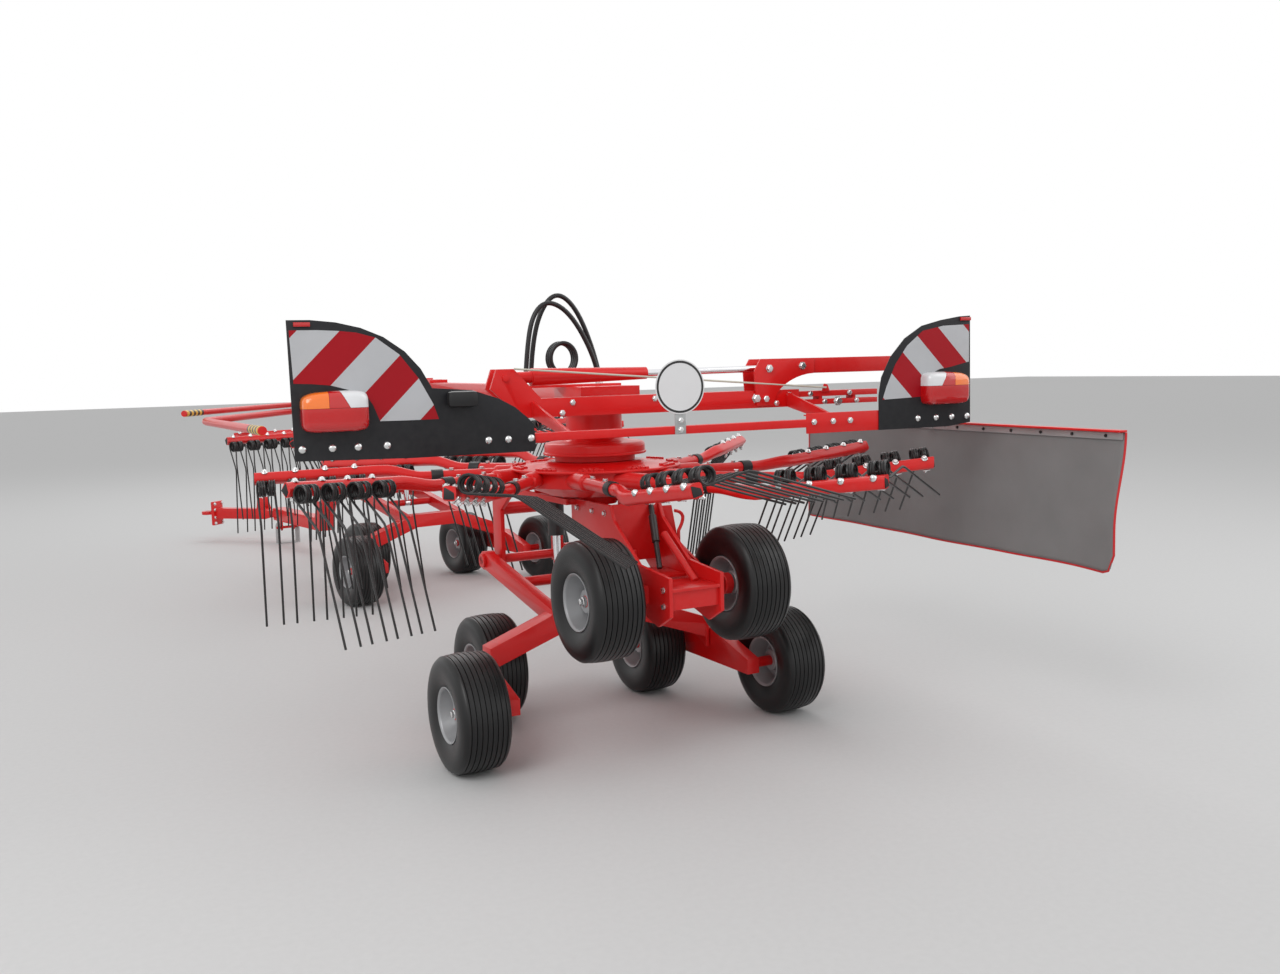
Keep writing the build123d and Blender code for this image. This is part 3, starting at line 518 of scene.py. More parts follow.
def tineSide(side):
    lean = math.radians(tine["lean"])
    downY = -tine["coil"]
    kinkZ = -tine["upper"]
    points = []
    for back in (tine["lower"], 0.05, 0.02):
        points.append(Vector((side * tine["outer"], downY - back * math.sin(lean), kinkZ - back * math.cos(lean))))
    points.append(Vector((side * tine["outer"], downY - 0.0015, kinkZ + 0.004)))
    points.append(Vector((side * tine["outer"], downY, kinkZ + 0.03)))
    count = int(tine["turns"] * tine["steps"])
    for i in range(count + 1):
        angle = math.pi - 2 * math.pi * i / tine["steps"]
        along = tine["outer"] + (tine["inner"] - tine["outer"]) * i / count
        points.append(Vector((side * along, tine["coil"] * math.cos(angle), tine["coil"] * math.sin(angle))))
    return points


tineShape = wireMesh(tineSide(-1) + tineSide(1)[::-1], tine["wire"], 1)
rotors = {"rear": ("rear_rotor", rearPlace, 0.0, "rear_boom"), "front": ("front_rotor", frontPlace, 9.0, "front_beam")}


def armPlaces(place, phase, rolled=True):
    for index, rollAngle in enumerate(arm["frontRolls" if phase else "rolls"]):
        turn = turnBy(arm["firstAngle"] + phase + index * 360 / arm["count"])
        here = place @ turn @ spot(0, -arm["offset"], layout["armHeight"]) @ turnBy(arm["droop"][index], "Y")
        yield here @ turnBy(rollAngle, "X") if rolled else here


barReach = arm["barEnd"] - arm["barStart"]
barDown, barAside = math.atan2(arm["drop"], barReach), math.atan2(arm["sweep"], barReach)
barTurn = Matrix.Rotation(barDown, 4, "Y") @ Matrix.Rotation(barAside, 4, "Z")


def barPlaces(place, phase, aside, raised, tilt=0.0, shift=0.0):
    for armPlace in armPlaces(place, phase):
        bar = armPlace @ spot(arm["barStart"], 0, arm["barRise"]) @ barTurn
        for number in range(arm["tines"]):
            along = arm["first"] + shift - arm["barStart"] + number * arm["pitch"]
            yield bar @ spot(along, aside, raised) @ turnBy(tilt, "X")


boltAside = arm["boltReach"] * math.sin(math.radians(arm["boltTurn"]))
boltUp = arm["boltReach"] * math.cos(math.radians(arm["boltTurn"]))
alongArm = turnBy(90, "Y")
nutProfile = ((0, -0.004), (0.0095, -0.004), (0.0095, -0.013), (0.006, -0.015), (0.006, -0.021), (0, -0.021))
nutBlock = joined([blockMesh(0.03, 0.03, 0.005, 0.001), turnedMesh(nutProfile, 6)])
boltProfile = ((0.0, 0.0), (0.014, 0.0), (0.0135, 0.003), (0.0105, 0.0055), (0.0095, 0.01), (0.0055, 0.0135),
    (0, 0.0145))
domeBolt = turnedMesh(boltProfile, 10)
plug = blockMesh(0.006, 0.038, 0.034, 0.002, (-0.0015, 0, 0))
sleeveProfile = ((0.0245, 0), (0.0285, 0.001), (0.029, 0.004), (0.029, 0.046), (0.0285, 0.049), (0.0245, 0.05))
for end, (body, place, phase, gearBody) in rotors.items():
    wirePlaces = list(barPlaces(place, phase, tine["coilAside"], -tine["coilUnder"]))
    wires = repeated(end + "SpringTines", tineShape.copy(), wirePlaces, springBlack, body)
    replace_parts(wires, end + "_tines")
    arms = repeated(end + "ArmTubes", armShape(), list(armPlaces(place, phase)), redPaint, body)
    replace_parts(arms, end + "_tine_arms")
    sleeves = [armPlace @ spot(arm["sleeve"], 0) @ alongArm for armPlace in armPlaces(place, phase)]
    repeated(end + "ArmSleeves", turnedMesh(sleeveProfile, 18), sleeves, blackPlastic, body)
    fasteners(end + "TineBolts", domeBolt, barPlaces(place, phase, boltAside, boltUp, -arm["boltTurn"]), body)
    nutPlaces = barPlaces(place, phase, -boltAside, -boltUp, -arm["boltTurn"], arm["nutShift"])
    fasteners(end + "TineNuts", nutBlock, nutPlaces, body)
    tip = spot(arm["barEnd"], arm["sweep"], arm["barRise"] - arm["drop"]) @ barTurn
    tips = [armPlace @ tip for armPlace in armPlaces(place, phase)]
    fasteners(end + "BarPlugs", plug, tips, body, blackPlastic)
    tubeBolts = [armPlace @ spot(reach, 0, arm["tubeBoltUp"]) for armPlace in armPlaces(place, phase, False)
        for reach in arm["tubeBolts"]]
    fasteners(end + "ArmBolts", hexHead, tubeBolts, body)
print("arms and tines made")

# Hubs: a flared drum, a socket for each arm, the bolted rim and the still drum over it
hub = {"profile": ((0.062, 0.99), (0.2, 0.99), (0.206, 0.994), (0.33, 1.036), (0.333, 1.042), (0.333, 1.098),
        (0.357, 1.098), (0.3605, 1.1015), (0.3605, 1.1055), (0.357, 1.109), (0.3, 1.1135), (0.214, 1.122),
        (0.205, 1.128), (0.062, 1.128)),
    "drum": ((0.0, 1.131), (0.17, 1.131), (0.17, 1.156), (0.214, 1.156), (0.2185, 1.159), (0.2185, 1.165),
        (0.213, 1.168), (0.2125, 1.19), (0.2115, 1.198), (0.206, 1.2045), (0.196, 1.2075), (0.15, 1.2115),
        (0.128, 1.216), (0.119, 1.224), (0.118, 1.33), (0.0, 1.33)), "socketRadius": 0.034, "boltsBack": 22,
    "boltsHigh": 1.1085, "slope": 0.08,
    "bolts": ((-9, 0.343), (-5.5, 0.343), (-2, 0.343), (1.5, 0.343), (5, 0.343), (-6.5, 0.318), (-2.5, 0.318),
        (2, 0.318))}
socket = turnedMesh(((0, 0.2), (hub["socketRadius"], 0.2), (hub["socketRadius"], 0.385), (0.0335, 0.392),
    (0.03, 0.398), (0.0255, 0.402), (0, 0.402)), 20)
for end, (body, place, phase, gearBody) in rotors.items():
    parts = [placed(turnedMesh(hub["profile"] + (hub["profile"][0],), 64), place)]
    for armPlace in armPlaces(place, phase, False):
        parts.append(placed(socket.copy(), armPlace @ alongArm))
    standsFor(end + "_rotor_hub", end + "HubShell", joined(parts), redPaint, body)
    rimBolts = []
    for index in range(arm["count"]):
        around = arm["firstAngle"] + phase + index * 360 / arm["count"] - hub["boltsBack"]
        for shift, radius in hub["bolts"]:
            height = hub["boltsHigh"] + (hub["bolts"][0][1] - radius) * hub["slope"]
            rimBolts.append(place @ turnBy(around + shift) @ spot(radius, 0, height))
    fasteners(end + "HubBolts", hexHead, rimBolts, body, redPaint)
    column = turnedMesh(((0, 0.95), (0.0612, 0.95), (0.0612, 1.131), (0, 1.131)), 32)
    drum = placed(joined([turnedMesh(hub["drum"], 64), column]), place)
    standsFor(end + "_gearbox", end + "GearDrum", drum, redPaint, gearBody)
print("hubs made")

# Wheels: ribbed tyres on dished rims
wheel = {"radius": 0.228, "grooves": (-0.07, -0.05, -0.03, -0.01, 0.01, 0.03, 0.05, 0.07),
    "bogie": (("inner", 0.391, 0.304, -1), ("outer", 0.719, -0.304, 1)), "raking": (0.318, -0.62, 0.664)}


def tyreProfile():
    shoulder = [(-0.078, 0.1085), (-0.084, 0.111), (-0.09, 0.122), (-0.0965, 0.145), (-0.0995, 0.168), (-0.0985, 0.19),
        (-0.094, 0.204), (-0.09, 0.2125), (-0.082, 0.219)]
    points = list(shoulder)
    for groove in wheel["grooves"]:
        top = wheel["radius"] - groove * groove
        points += [(groove - 0.0072, top - 0.0003), (groove - 0.002, top - 0.0001), (groove - 0.0014, top - 0.005),
            (groove + 0.0014, top - 0.005), (groove + 0.002, top - 0.0001), (groove + 0.0072, top - 0.0003)]
    points += [(-x, r) for x, r in shoulder[::-1]]
    return [(x, min(r, wheel["radius"])) for x, r in points]


def turnedAboutX(profile, steps):
    mesh = turnedMesh([(r, x) for x, r in profile], steps)
    return placed(mesh, turnBy(90, "Y"))


tyreLoop = tyreProfile()
tyreShape = turnedAboutX(tyreLoop + [tyreLoop[-1], tyreLoop[0]], 72)
rimProfile = [(-0.084, 0.108), (-0.0865, 0.1085), (-0.0875, 0.106), (-0.084, 0.1005), (-0.078, 0.098),
    (-0.062, 0.0965), (-0.036, 0.084), (-0.013, 0.079), (-0.0105, 0.072), (-0.01, 0.052), (-0.016, 0.047),
    (-0.044, 0.045), (-0.048, 0.041), (-0.048, 0.0228), (0.048, 0.0228), (0.048, 0.041), (0.044, 0.045), (0.01, 0.047),
    (0.004, 0.052), (0.004, 0.072), (0.007, 0.079), (0.036, 0.084), (0.062, 0.0965), (0.078, 0.098), (0.084, 0.1005),
    (0.0875, 0.106), (0.0865, 0.1085), (0.084, 0.108)]
rimShape = turnedAboutX(rimProfile + [rimProfile[0]], 48)
axleCap = turnedAboutX(((0.046, 0.0), (0.046, 0.02), (0.06, 0.018), (0.062, 0.0135), (0.0695, 0.0125), (0.071, 0.0105),
    (0.071, 0.0)), 18)
sides = (("left", -1), ("right", 1))
chassis = (("front", frontPlace), ("rear", truckPlace))
wheels = []
for end, place in chassis:
    for sideName, side in sides:
        for kind, x, y, outward in wheel["bogie"]:
            wheels.append((f"{end}_{sideName}_{kind}", place @ spot(side * x, y, wheel["radius"]), side, outward))
for sideName, side in sides:
    wheels.append((f"raking_{sideName}", truckPlace @ spot(side * wheel["raking"][0], *wheel["raking"][1:]), side, 1))
for wheelName, wheelPlace, side, outward in wheels:
    standsFor("tyre_" + wheelName, wheelName + "RibbedTyre", placed(tyreShape.copy(), wheelPlace), tyreRubber,
        "wheel_" + wheelName)
    turn = Matrix.Identity(4) if side * outward > 0 else turnBy(180)
    standsFor("rim_" + wheelName, wheelName + "DishedRim", placed(rimShape.copy(), wheelPlace @ turn), rimSilver,
        "wheel_" + wheelName)
    linkPiece(wheelName + "AxleCap", placed(axleCap.copy(), wheelPlace @ turn), zincBolt, "wheel_" + wheelName)
print("wheels made")

# Carriages: two neck plates, the column's block and, at the rear, the raking wheels' frame
carriage = {"neck": ((-40, 950), (-40, 975), (380, 975), (392, 1030), (480, 1030), (795, 900), (795, 580), (695, 580),
        (695, 860), (560, 950)),
    "rake": ((0, 890), (0, 975), (-350, 975), (-380, 915), (-580, 769), (-810, 749), (-810, 604), (-720, 554),
        (-530, 604), (-290, 684)),
    "slabs": (((-150, -40, 950), (150, 40, 975)), ((-150, 392, 1010), (150, 448, 1030)), ((-150, 300, 950),
        (150, 312, 1000))),
    "rods": (((0, 0, 945), (0, 0, 982), 88, 32, 2), ((-150, 745, 860), (150, 745, 860), 30, 24), ((-247, 745, 620),
        (247, 745, 620), 22, 24, 2)),
    "rakeSlabs": (((-102, -810, 694), (102, -660, 706)), ((-102, -798, 626), (102, -786, 702)), ((-102, -350, 744),
        (102, -338, 975)), ((-222, -655, 629), (222, -585, 699), 6), ((-102, -560, 700), (102, -360, 712))),
    "rakeRods": (((-366, -620, 664), (366, -620, 664), 22, 24, 2), ((60, -700, 706), (60, -470, 860), 14, 16),
        ((-60, -420, 712), (-60, -420, 800), 20, 16, 2)),
    "rakeBolts": ((-60, 940), (-200, 940), (-310, 940), (-430, 800), (-770, 700), (-770, 640)),
    "handle": ((150, -430, 860), (176, -430, 900), (170, -420, 935), (140, -420, 940)),
    "crankRods": (((150, -430, 700), (150, -430, 862), 7, 12), ((150, -430, 690), (150, -430, 730), 18, 16, 2)),
    "strutRods": (((70, -352, 960), (20, -500, 730), 11, 16), ((62, -376, 922), (40, -440, 824), 16, 16, 2)),
    "brace": ((114, 955), (163, 955), (206, 724), (206, 634), (172, 634), (114, 855))}


def carriageMeshes(place):
    parts = slabs(place, carriage["slabs"]) + rods(place, carriage["rods"])
    for side in (-1, 1):
        parts.append(sidePlate(place, side * 150 - 10, 20, carriage["neck"]))
        parts.append(slab(place, (side * 26.3 - 7, 392, 962), (side * 26.3 + 7, 448, 1030)))
        parts.append(rod(place, (side * 235, 745, 620), (side * 247, 745, 620), 34, 24, 2))
    return parts


frontFrame = joined(carriageMeshes(frontPlace))
standsFor("front_carriage", "frontCarriageFrame", frontFrame, redPaint, "front_carriage")
rakeParts = slabs(truckPlace, carriage["rakeSlabs"]) + rods(truckPlace, carriage["rakeRods"])
rakeParts += carriageMeshes(truckPlace)
for x in (-118, 102):
    rakeParts.append(sidePlate(truckPlace, x, 16, carriage["rake"]))
rakeParts.append(backPlate(truckPlace, -346, 12, carriage["brace"]))
rakeParts.append(sidePlate(truckPlace, 194, 12, ((-350, 634), (-350, 800), (-586, 700), (-586, 634))))
for side in (-1, 1):
    rakeParts.append(rod(truckPlace, (side * 226, -620, 664), (side * 262, -620, 664), 42, 24, 3))
standsFor("rear_carriage", "rearCarriageFrame", joined(rakeParts), redPaint, "rear_carriage")
for end, place in chassis:
    softened(end + "_axle", 4, end + "_axle")
    for sideName, side in sides:
        softened(end + "_bogie_" + sideName, 4, end + "_bogie_" + sideName)
rakeBolts = [facingSide(truckPlace, side * 118, y, z, side) for side in (-1, 1) for y, z in carriage["rakeBolts"]]
fasteners("rakingFrameBolts", hexHead, rakeBolts, "rear_carriage")
handle = wireMesh([truckPlace @ Vector(inMetres(*point)) for point in carriage["handle"]], 0.007, 2, kind="NURBS")
crank = joined([handle] + rods(truckPlace, carriage["crankRods"]))
linkPiece("heightCrank", crank, redPaint, "rear_carriage")
linkPiece("gasStrut", joined(rods(truckPlace, carriage["strutRods"])), blackPaint, "rear_carriage")
print("carriages made")

# Beams: softened CAD shapes, with the nose of the cross beam, its bolts and the thin linkage rod
beams = (("front_beam", 3.5, "front_beam"), ("rear_boom", 3.5, "rear_boom"), ("cross_beam", 3.5, "rear_boom"),
    ("light_bar", 2, "rear_boom"), ("curtain_cylinder_barrel", 3.5, "curtain_barrel"))
for nodeName, bevel, body in beams:
    softened(nodeName, bevel, body)
nose = {"slabs": (((790, -350, 1371), (1196, -290, 1395), 2), ((790, -350, 1337), (1196, -290, 1359), 2),
        ((900, -345, 1350), (916, -295, 1380), 1.5), ((1070, -345, 1350), (1086, -295, 1380), 1.5)),
    "bolts": ((-232, -360, 1386), (-276, -360, 1347), (118, -360, 1389), (680, -360, 1350), (740, -360, 1385),
        (852, -350, 1383), (924, -350, 1348), (1050, -350, 1383), (1086, -350, 1348)),
    "pins": ((581, -360, 1373), (989, -350, 1348))}
noseParts = slabs(rearPlace, nose["slabs"])
noseParts.append(backPlate(rearPlace, -352, 8, ((905, 1390), (945, 1390), (935, 1420), (918, 1425))))
linkPiece("beamNose", joined(noseParts), redPaint, "rear_boom")
fasteners("beamBolts", hexHead, [facingBack(rearPlace, *point) for point in nose["bolts"]], "rear_boom")
fasteners("beamPins", hexHead, [facingBack(rearPlace, *point) for point in nose["pins"]], "rear_boom", size=1.7)
linkPiece("linkageRod", rod(rearPlace, (-470, -378, 1520), (922, -366, 1408), 4, 10), creamPaint, "rear_boom")
print("beams made")

# Curtain arm with its curved knee
knee = {"arc": 10, "corners": ((660, 1342), (580, 1342), (570, 1485), (600, 1535), (860, 1535), (860, 1471)),
    "long": 200, "high": 129, "round": 0.9,
    "slabs": (((740, -360.8, 1471), (1540, -279.2, 1535), 4), ((1490, -350, 1232), (1540, -290, 1535), 4),
        ((1525.7, -1388, 1229), (1566, 770, 1237), 1.5))}
kneeCorners = list(knee["corners"])
kneeX, kneeZ = kneeCorners[-1]
for i in range(1, knee["arc"]):
    angle = math.radians(90 * i / knee["arc"])
    rise = (1 - math.cos(angle)) ** knee["round"]
    kneeCorners.append((kneeX - knee["long"] * math.sin(angle), kneeZ - knee["high"] * rise))
armParts = [backPlate(rearPlace, y, 10, kneeCorners, 1.5) for y in (-269.2, -360.8)]
armParts += slabs(rearPlace, knee["slabs"])
strip = slab(rearPlace, (1552, -1378, 1200), (1559.5, 770, 1226), 1)
linkPiece("curtainClampStrip", strip, zincSteel, "curtain_arm")
standsFor("curtain_arm", "curtainArmFrame", joined(armParts), redPaint, "curtain_arm")
armPins = [facingBack(rearPlace, x, -371, z) for x, z in ((620, 1370), (640, 1495), (800, 1503))]
fasteners("curtainArmPins", hexHead, armPins, "curtain_arm", size=1.4)
print("curtain arm made")

# Curtain: one hung sheet of coated cloth, waved and drawn in at its rear edge, with red piping
curtain = {"front": 0.77, "rear": -1.386, "top": 1.228, "foot": 0.695, "x": 1.5625, "corner": 0.075, "columns": 96,
    "rows": 28, "thick": 0.0025, "piping": 0.0042, "pull": 0.046, "pullLong": 0.16, "pullHigh": 0.36, "held": 0.05,
    "loose": 0.3, "waves": ((0.007, 5.1, 0, 0.6), (0.004, 12.7, 4.0, 0))}


def curtainPoint(along, down):
    y = curtain["front"] + (curtain["rear"] - curtain["front"]) * along
    foot = curtain["foot"]
    fromRear = y - curtain["rear"]
    if fromRear < curtain["corner"]:
        foot += curtain["corner"] - math.sqrt(max(0.0, curtain["corner"] ** 2 - (curtain["corner"] - fromRear) ** 2))
    z = curtain["top"] + (foot - curtain["top"]) * down
    free = min(1.0, max(0.0, (curtain["top"] - z - curtain["held"]) / curtain["loose"]))
    grown = math.sin(min(1.0, (curtain["top"] - z) / curtain["pullHigh"]) * math.pi / 2) ** 2
    drawnIn = math.exp(-fromRear / curtain["pullLong"]) * -curtain["pull"] * grown
    slow = sum(size * math.sin(y * overY + z * overZ + start) for size, overY, overZ, start in curtain["waves"])
    return Vector((curtain["x"] + drawnIn + free * slow, y, z))


clothBuild = bmesh.new()
grid = [[clothBuild.verts.new(rearPlace @ curtainPoint(i / curtain["columns"], j / curtain["rows"]))
    for j in range(curtain["rows"] + 1)] for i in range(curtain["columns"] + 1)]
for i in range(curtain["columns"]):
    for j in range(curtain["rows"]):
        clothBuild.faces.new((grid[i][j], grid[i + 1][j], grid[i + 1][j + 1], grid[i][j + 1]))
cloth = linkPiece("curtainCloth", finished(clothBuild, "curtainCloth", True), clothGrey, "curtain_arm")
thick = cloth.modifiers.new("thickness", "SOLIDIFY")
thick.thickness = curtain["thick"]
thick.offset = 0
edge = [curtainPoint(0.0, j / 10) for j in range(1, 10)] + [curtainPoint(i / 60, 1.0) for i in range(61)]
edge += [curtainPoint(1.0, j / 24) for j in range(23, -1, -1)]
piping = linkPiece("curtainPiping", wireMesh([rearPlace @ point for point in edge], curtain["piping"], 1), clothRed,
    "curtain_arm")
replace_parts(cloth, "swath_curtain")
railBolts = [facingSide(rearPlace, 1551.5, y, 1213, -1) for y in range(-1300, 760, 170)]
fasteners("curtainRailBolts", hexHead, railBolts, "curtain_arm", blackPaint, size=0.6)
print("curtain made")

# Warning panels: black sheet, a striped field, a reflector, bolts and the tail lamps
panel = {"face": -0.7693, "stripe": 0.1355, "firstStripe": 2.969,
    "rightField": ((1.346, 1.654), (1.346, 1.503), (1.25, 1.483), (1.198, 1.476), (1.144, 1.455), (1.132, 1.415),
        (1.105, 1.368), (0.982, 1.364), (0.918, 1.362), (0.936, 1.411), (0.98, 1.5), (1.037, 1.572), (1.114, 1.63),
        (1.217, 1.649)),
    "field": ((1.336, 1.658), (1.33, 1.491), (1.275, 1.4885), (1.214, 1.482), (1.154, 1.465), (1.106, 1.452),
        (1.083, 1.414), (1.063, 1.362), (0.972, 1.361), (0.868, 1.361), (0.885, 1.412), (0.93, 1.497), (0.991, 1.577),
        (1.065, 1.632), (1.127, 1.649), (1.185, 1.655), (1.252, 1.658)),
    "left": ((1343, 1690), (1270, 1690), (1190, 1682), (1112, 1664), (1040, 1634), (972, 1586), (922, 1529),
        (886, 1464), (751, 1453), (659, 1422), (602, 1391), (556, 1352), (536, 1330), (530, 1254), (536, 1236),
        (964, 1236), (1338, 1245)),
    "right": ((1352, 1689), (1298, 1686), (1205, 1672), (1110, 1650), (1026, 1601), (958, 1530), (914, 1450),
        (901, 1380), (901, 1243), (1243, 1243), (1354, 1256)),
    "bolts": {"left": (1.314, 1.22, 1.138, 1.044, 0.7, 0.63, 0.548), "right": (1.089, 1.179, 1.257, 1.335)},
    "reflector": {"left": -1296, "right": 1326}}


def halved(build, origin, normal, inner=True):
    everything = build.verts[:] + build.edges[:] + build.faces[:]
    return bmesh.ops.bisect_plane(build, geom=everything, plane_co=origin, plane_no=normal, clear_inner=inner,
        clear_outer=not inner)


for sideName, side in sides:
    sheets = {"white": [], "red": []}
    for number in range(-1, 6):
        build = bmesh.new()
        field = panel["field" if side < 0 else "rightField"]
        build.faces.new([build.verts.new((side * x, panel["face"] - 0.0006, z)) for x, z in field])
        bandHigh = panel["firstStripe"] - panel["stripe"] * number
        direction = Vector((side, 0, 1)).normalized()
        for limit, inner in ((bandHigh - panel["stripe"], True), (bandHigh, False)):
            halved(build, direction * (limit / math.sqrt(2)), direction, inner)
        bmesh.ops.recalc_face_normals(build, faces=build.faces[:])
        for face in build.faces:
            if face.normal.y > 0:
                face.normal_flip()
        build.transform(rearPlace)
        sheets["white" if number % 2 == 0 else "red"].append(finished(build, "band"))
    for colour, finish, slotName in (("white", reflexWhite, "sign_white"), ("red", reflexRed, "lamp_lens")):
        linkPiece(sideName + colour.title() + "Stripes", joined(sheets[colour]), finish, "rear_boom", False)
    outline = [(side * x, z) for x, z in panel[sideName]]
    sheet = backPlate(rearPlace, -765.3, 4, outline, 0.8)
    standsFor("warning_panel_" + sideName, sideName + "PanelSheet", sheet, panelBlack, "rear_boom")
    bolts = [facingBack(rearPlace, side * x * 1000, panel["face"] * 1000, 1282) for x in panel["bolts"][sideName]]
    fasteners(sideName + "PanelBolts", domeHead, bolts, "rear_boom")
    middle = panel["reflector"][sideName]
    reflector = slab(rearPlace, (middle - 26, -776, 1669), (middle + 26, -769.3, 1683), 2)
    linkPiece(sideName + "Reflector", reflector, lampRed, "rear_boom")

tailLamp = {"x": 1.209, "z": 1.4, "wide": 0.212, "high": 0.132, "deep": 0.056, "rings": 6, "square": 0.32, "points": 40,
    "round": 0.02, "amberEdge": 1.232, "clearEdge": 1.172, "split": 1.411, "seam": 0.0008}


def lampShell(side):
    rings = []
    for step in range(tailLamp["rings"] + 1):
        part = step / tailLamp["rings"]
        inset = tailLamp["round"] * (1 - math.sqrt(max(0.0, 1 - part ** 3)))
        halfX = tailLamp["wide"] / 2 - inset
        halfZ = tailLamp["high"] / 2 - inset
        y = panel["face"] - 0.001 - tailLamp["deep"] * (0.15 + 0.85 * part if part else 0.0)
        ring = []
        for i in range(tailLamp["points"]):
            angle = 2 * math.pi * i / tailLamp["points"]
            x = halfX * squared(math.cos(angle), tailLamp["square"])
            z = halfZ * squared(math.sin(angle), tailLamp["square"])
            if z > 0:
                z -= 0.012 * max(0.0, x * side / halfX) ** 2 * z / halfZ
            ring.append(rearPlace @ Vector((side * tailLamp["x"] + x, y, tailLamp["z"] + z)))
        rings.append(ring)
    return ringed(rings)


def cutShell(mesh, cuts):
    build = bmesh.new()
    build.from_mesh(mesh)
    for origin, normal in cuts:
        cut = halved(build, rearPlace @ Vector(origin), normal)
        rims = [item for item in cut["geom_cut"] if isinstance(item, bmesh.types.BMEdge)]
        bmesh.ops.holes_fill(build, edges=rims, sides=0)
    return finished(build, "cut", True)


for sideName, side in sides:
    amberEdge, clearEdge = side * tailLamp["amberEdge"], side * tailLamp["clearEdge"]
    split, seam = tailLamp["split"], tailLamp["seam"]
    above = ((0, 0, split), (0, 0, 1))
    amber = cutShell(lampShell(side), (((amberEdge, 0, split), (side, 0, 0)), above))
    clear = cutShell(lampShell(side), (((clearEdge, 0, split + 0.012), (-side * 0.87, 0, 0.49)), above))
    redLow = cutShell(lampShell(side), (((0, 0, split - seam), (0, 0, -1)),))
    fromAmber = ((amberEdge - side * seam, 0, split), (-side, 0, 0))
    fromClear = ((clearEdge + side * seam, 0, split + 0.012), (side * 0.87, 0, -0.49))
    redMiddle = cutShell(lampShell(side), (fromAmber, fromClear, above))
    lens = joined([redLow, redMiddle])
    standsFor("tail_lamp_" + sideName, sideName + "LampRed", lens, lampRed, "rear_boom")
    linkPiece(sideName + "LampAmber", amber, lampAmber, "rear_boom")
    linkPiece(sideName + "LampClear", clear, lampClear, "rear_boom")
lampBox = slab(rearPlace, (-842, -806, 1398), (-738, -769.5, 1452), 16)
linkPiece("panelLampBox", lampBox, blackPlastic, "rear_boom")
print("panels and lamps made")

# Round sign, blank, with its dark rim, on a zinc strap
sign = {"x": 27, "z": 1440, "disc": ((0, 0), (0.0985, 0), (0.0995, 0.0008), (0.0985, 0.0022), (0, 0.0022)),
    "rim": ((0.0865, 0.002), (0.0865, 0.0026), (0.0945, 0.0026), (0.0945, 0.002), (0.0865, 0.002)),
    "strap": (((5, -770.3, 1268), (49, -765.6, 1352), 2), ((12, -770.3, 1352), (42, -765.6, 1440), 1))}
signFace = facingBack(rearPlace, sign["x"], -770.5, sign["z"])
disc = placed(turnedMesh(sign["disc"], 64), signFace)
standsFor("round_sign", "signDisc", disc, signWhite, "rear_boom")
linkPiece("signRim", placed(turnedMesh(sign["rim"], 64), signFace), blackPaint, "rear_boom")
linkPiece("signStrap", joined(slabs(rearPlace, sign["strap"])), zincSteel, "rear_boom")
fasteners("signBolts", hexHead, [facingBack(rearPlace, 27, -770.3, z) for z in (1318, 1284)], "rear_boom")
fasteners("carrierBolts", hexHead, [facingBack(rearPlace, x, -765.5, 1288) for x in (601, 688, 767)], "rear_boom")
print("sign made")

# Guard tubes left of the front rotor, banded near their ends
guardTubes = ((0.024, 1.235, ((-0.06, 1.62), (-0.3, 1.62), (-1.49, 0.24), (-1.72, -1.5))),
    (0.02, 1.287, ((-0.06, 1.59), (-0.3, 1.59), (-1.592, 0.3))))


def roundedPath(points, radius, steps=8):
    path = [points[0]]
    for before, corner, after in zip(points, points[1:], points[2:]):
        first = (before - corner).normalized()
        second = (after - corner).normalized()
        for i in range(steps + 1):
            part = i / steps
            path.append(corner + first * radius * (1 - part) ** 2 + second * radius * part ** 2)
    return path + [points[-1]]


guardMeshes = []
for radius, height, corners in guardTubes:
    path = roundedPath([frontPlace @ Vector((x, y, height)) for x, y in corners], 0.13)
    guardMeshes.append(wireMesh(path, radius, 3))
standsFor("rotor_guard", "guardTubes", joined(guardMeshes), redPaint, "front_beam")
bands = {"from": 0.04, "long": 0.72, "count": 8, "proud": 1.2,
    "ends": {"lower": (0, -1720, -1500, -1673.5, -1148.2), "upper": (1, -1592, 300, -1386.0, 505.7)}}
for label, (tube, endX, endY, farX, farY) in bands["ends"].items():
    radius, height = guardTubes[tube][:2]
    for number in range(bands["count"]):
        shares = [bands["from"] + bands["long"] * step / bands["count"] for step in (number, number + 1)]
        start, stop = [(endX + (farX - endX) * share, endY + (farY - endY) * share, height * 1000) for share in shares]
        band = rod(frontPlace, start, stop, radius * 1000 + bands["proud"], 16)
        linkPiece(f"{label}Band{number}", band, blackPaint if number % 2 else yellowBand, "front_beam")
print("guards made")

# Hoses: two arched hoses with crimped ends, and a short looped one
hose = {"radius": 0.01, "foot": 1.48,
    "routes": (((-252, 62, 0), (-244, 62, 120), (-205, 60, 275), (-130, 58, 360), (-40, 58, 290), (40, 60, 90),
        (56, 60, 0)),
        ((-290, 18, 0), (-280, 18, 125), (-250, 20, 262), (-182, 22, 322), (-80, 22, 265), (18, 18, 85),
        (34, 18, 0)))}
hoseMeshes, ferrules = [], []
for route in hose["routes"]:
    path = [rearPlace @ Vector((x * 0.001, y * 0.001, hose["foot"] + z * 0.001)) for x, y, z in route]
    hoseMeshes.append(wireMesh(path, hose["radius"], 3, kind="NURBS"))
    for x, y, z in (route[0], route[-1]):
        ferrules.append(rearPlace @ spot(x * 0.001, y * 0.001, hose["foot"] - 0.03))
loop = [(-0.112 + 0.056 * math.cos(a * math.pi / 8), 0.035 + 0.0013 * a, 1.56 + 0.064 * math.sin(a * math.pi / 8))
    for a in range(-5, 46)]
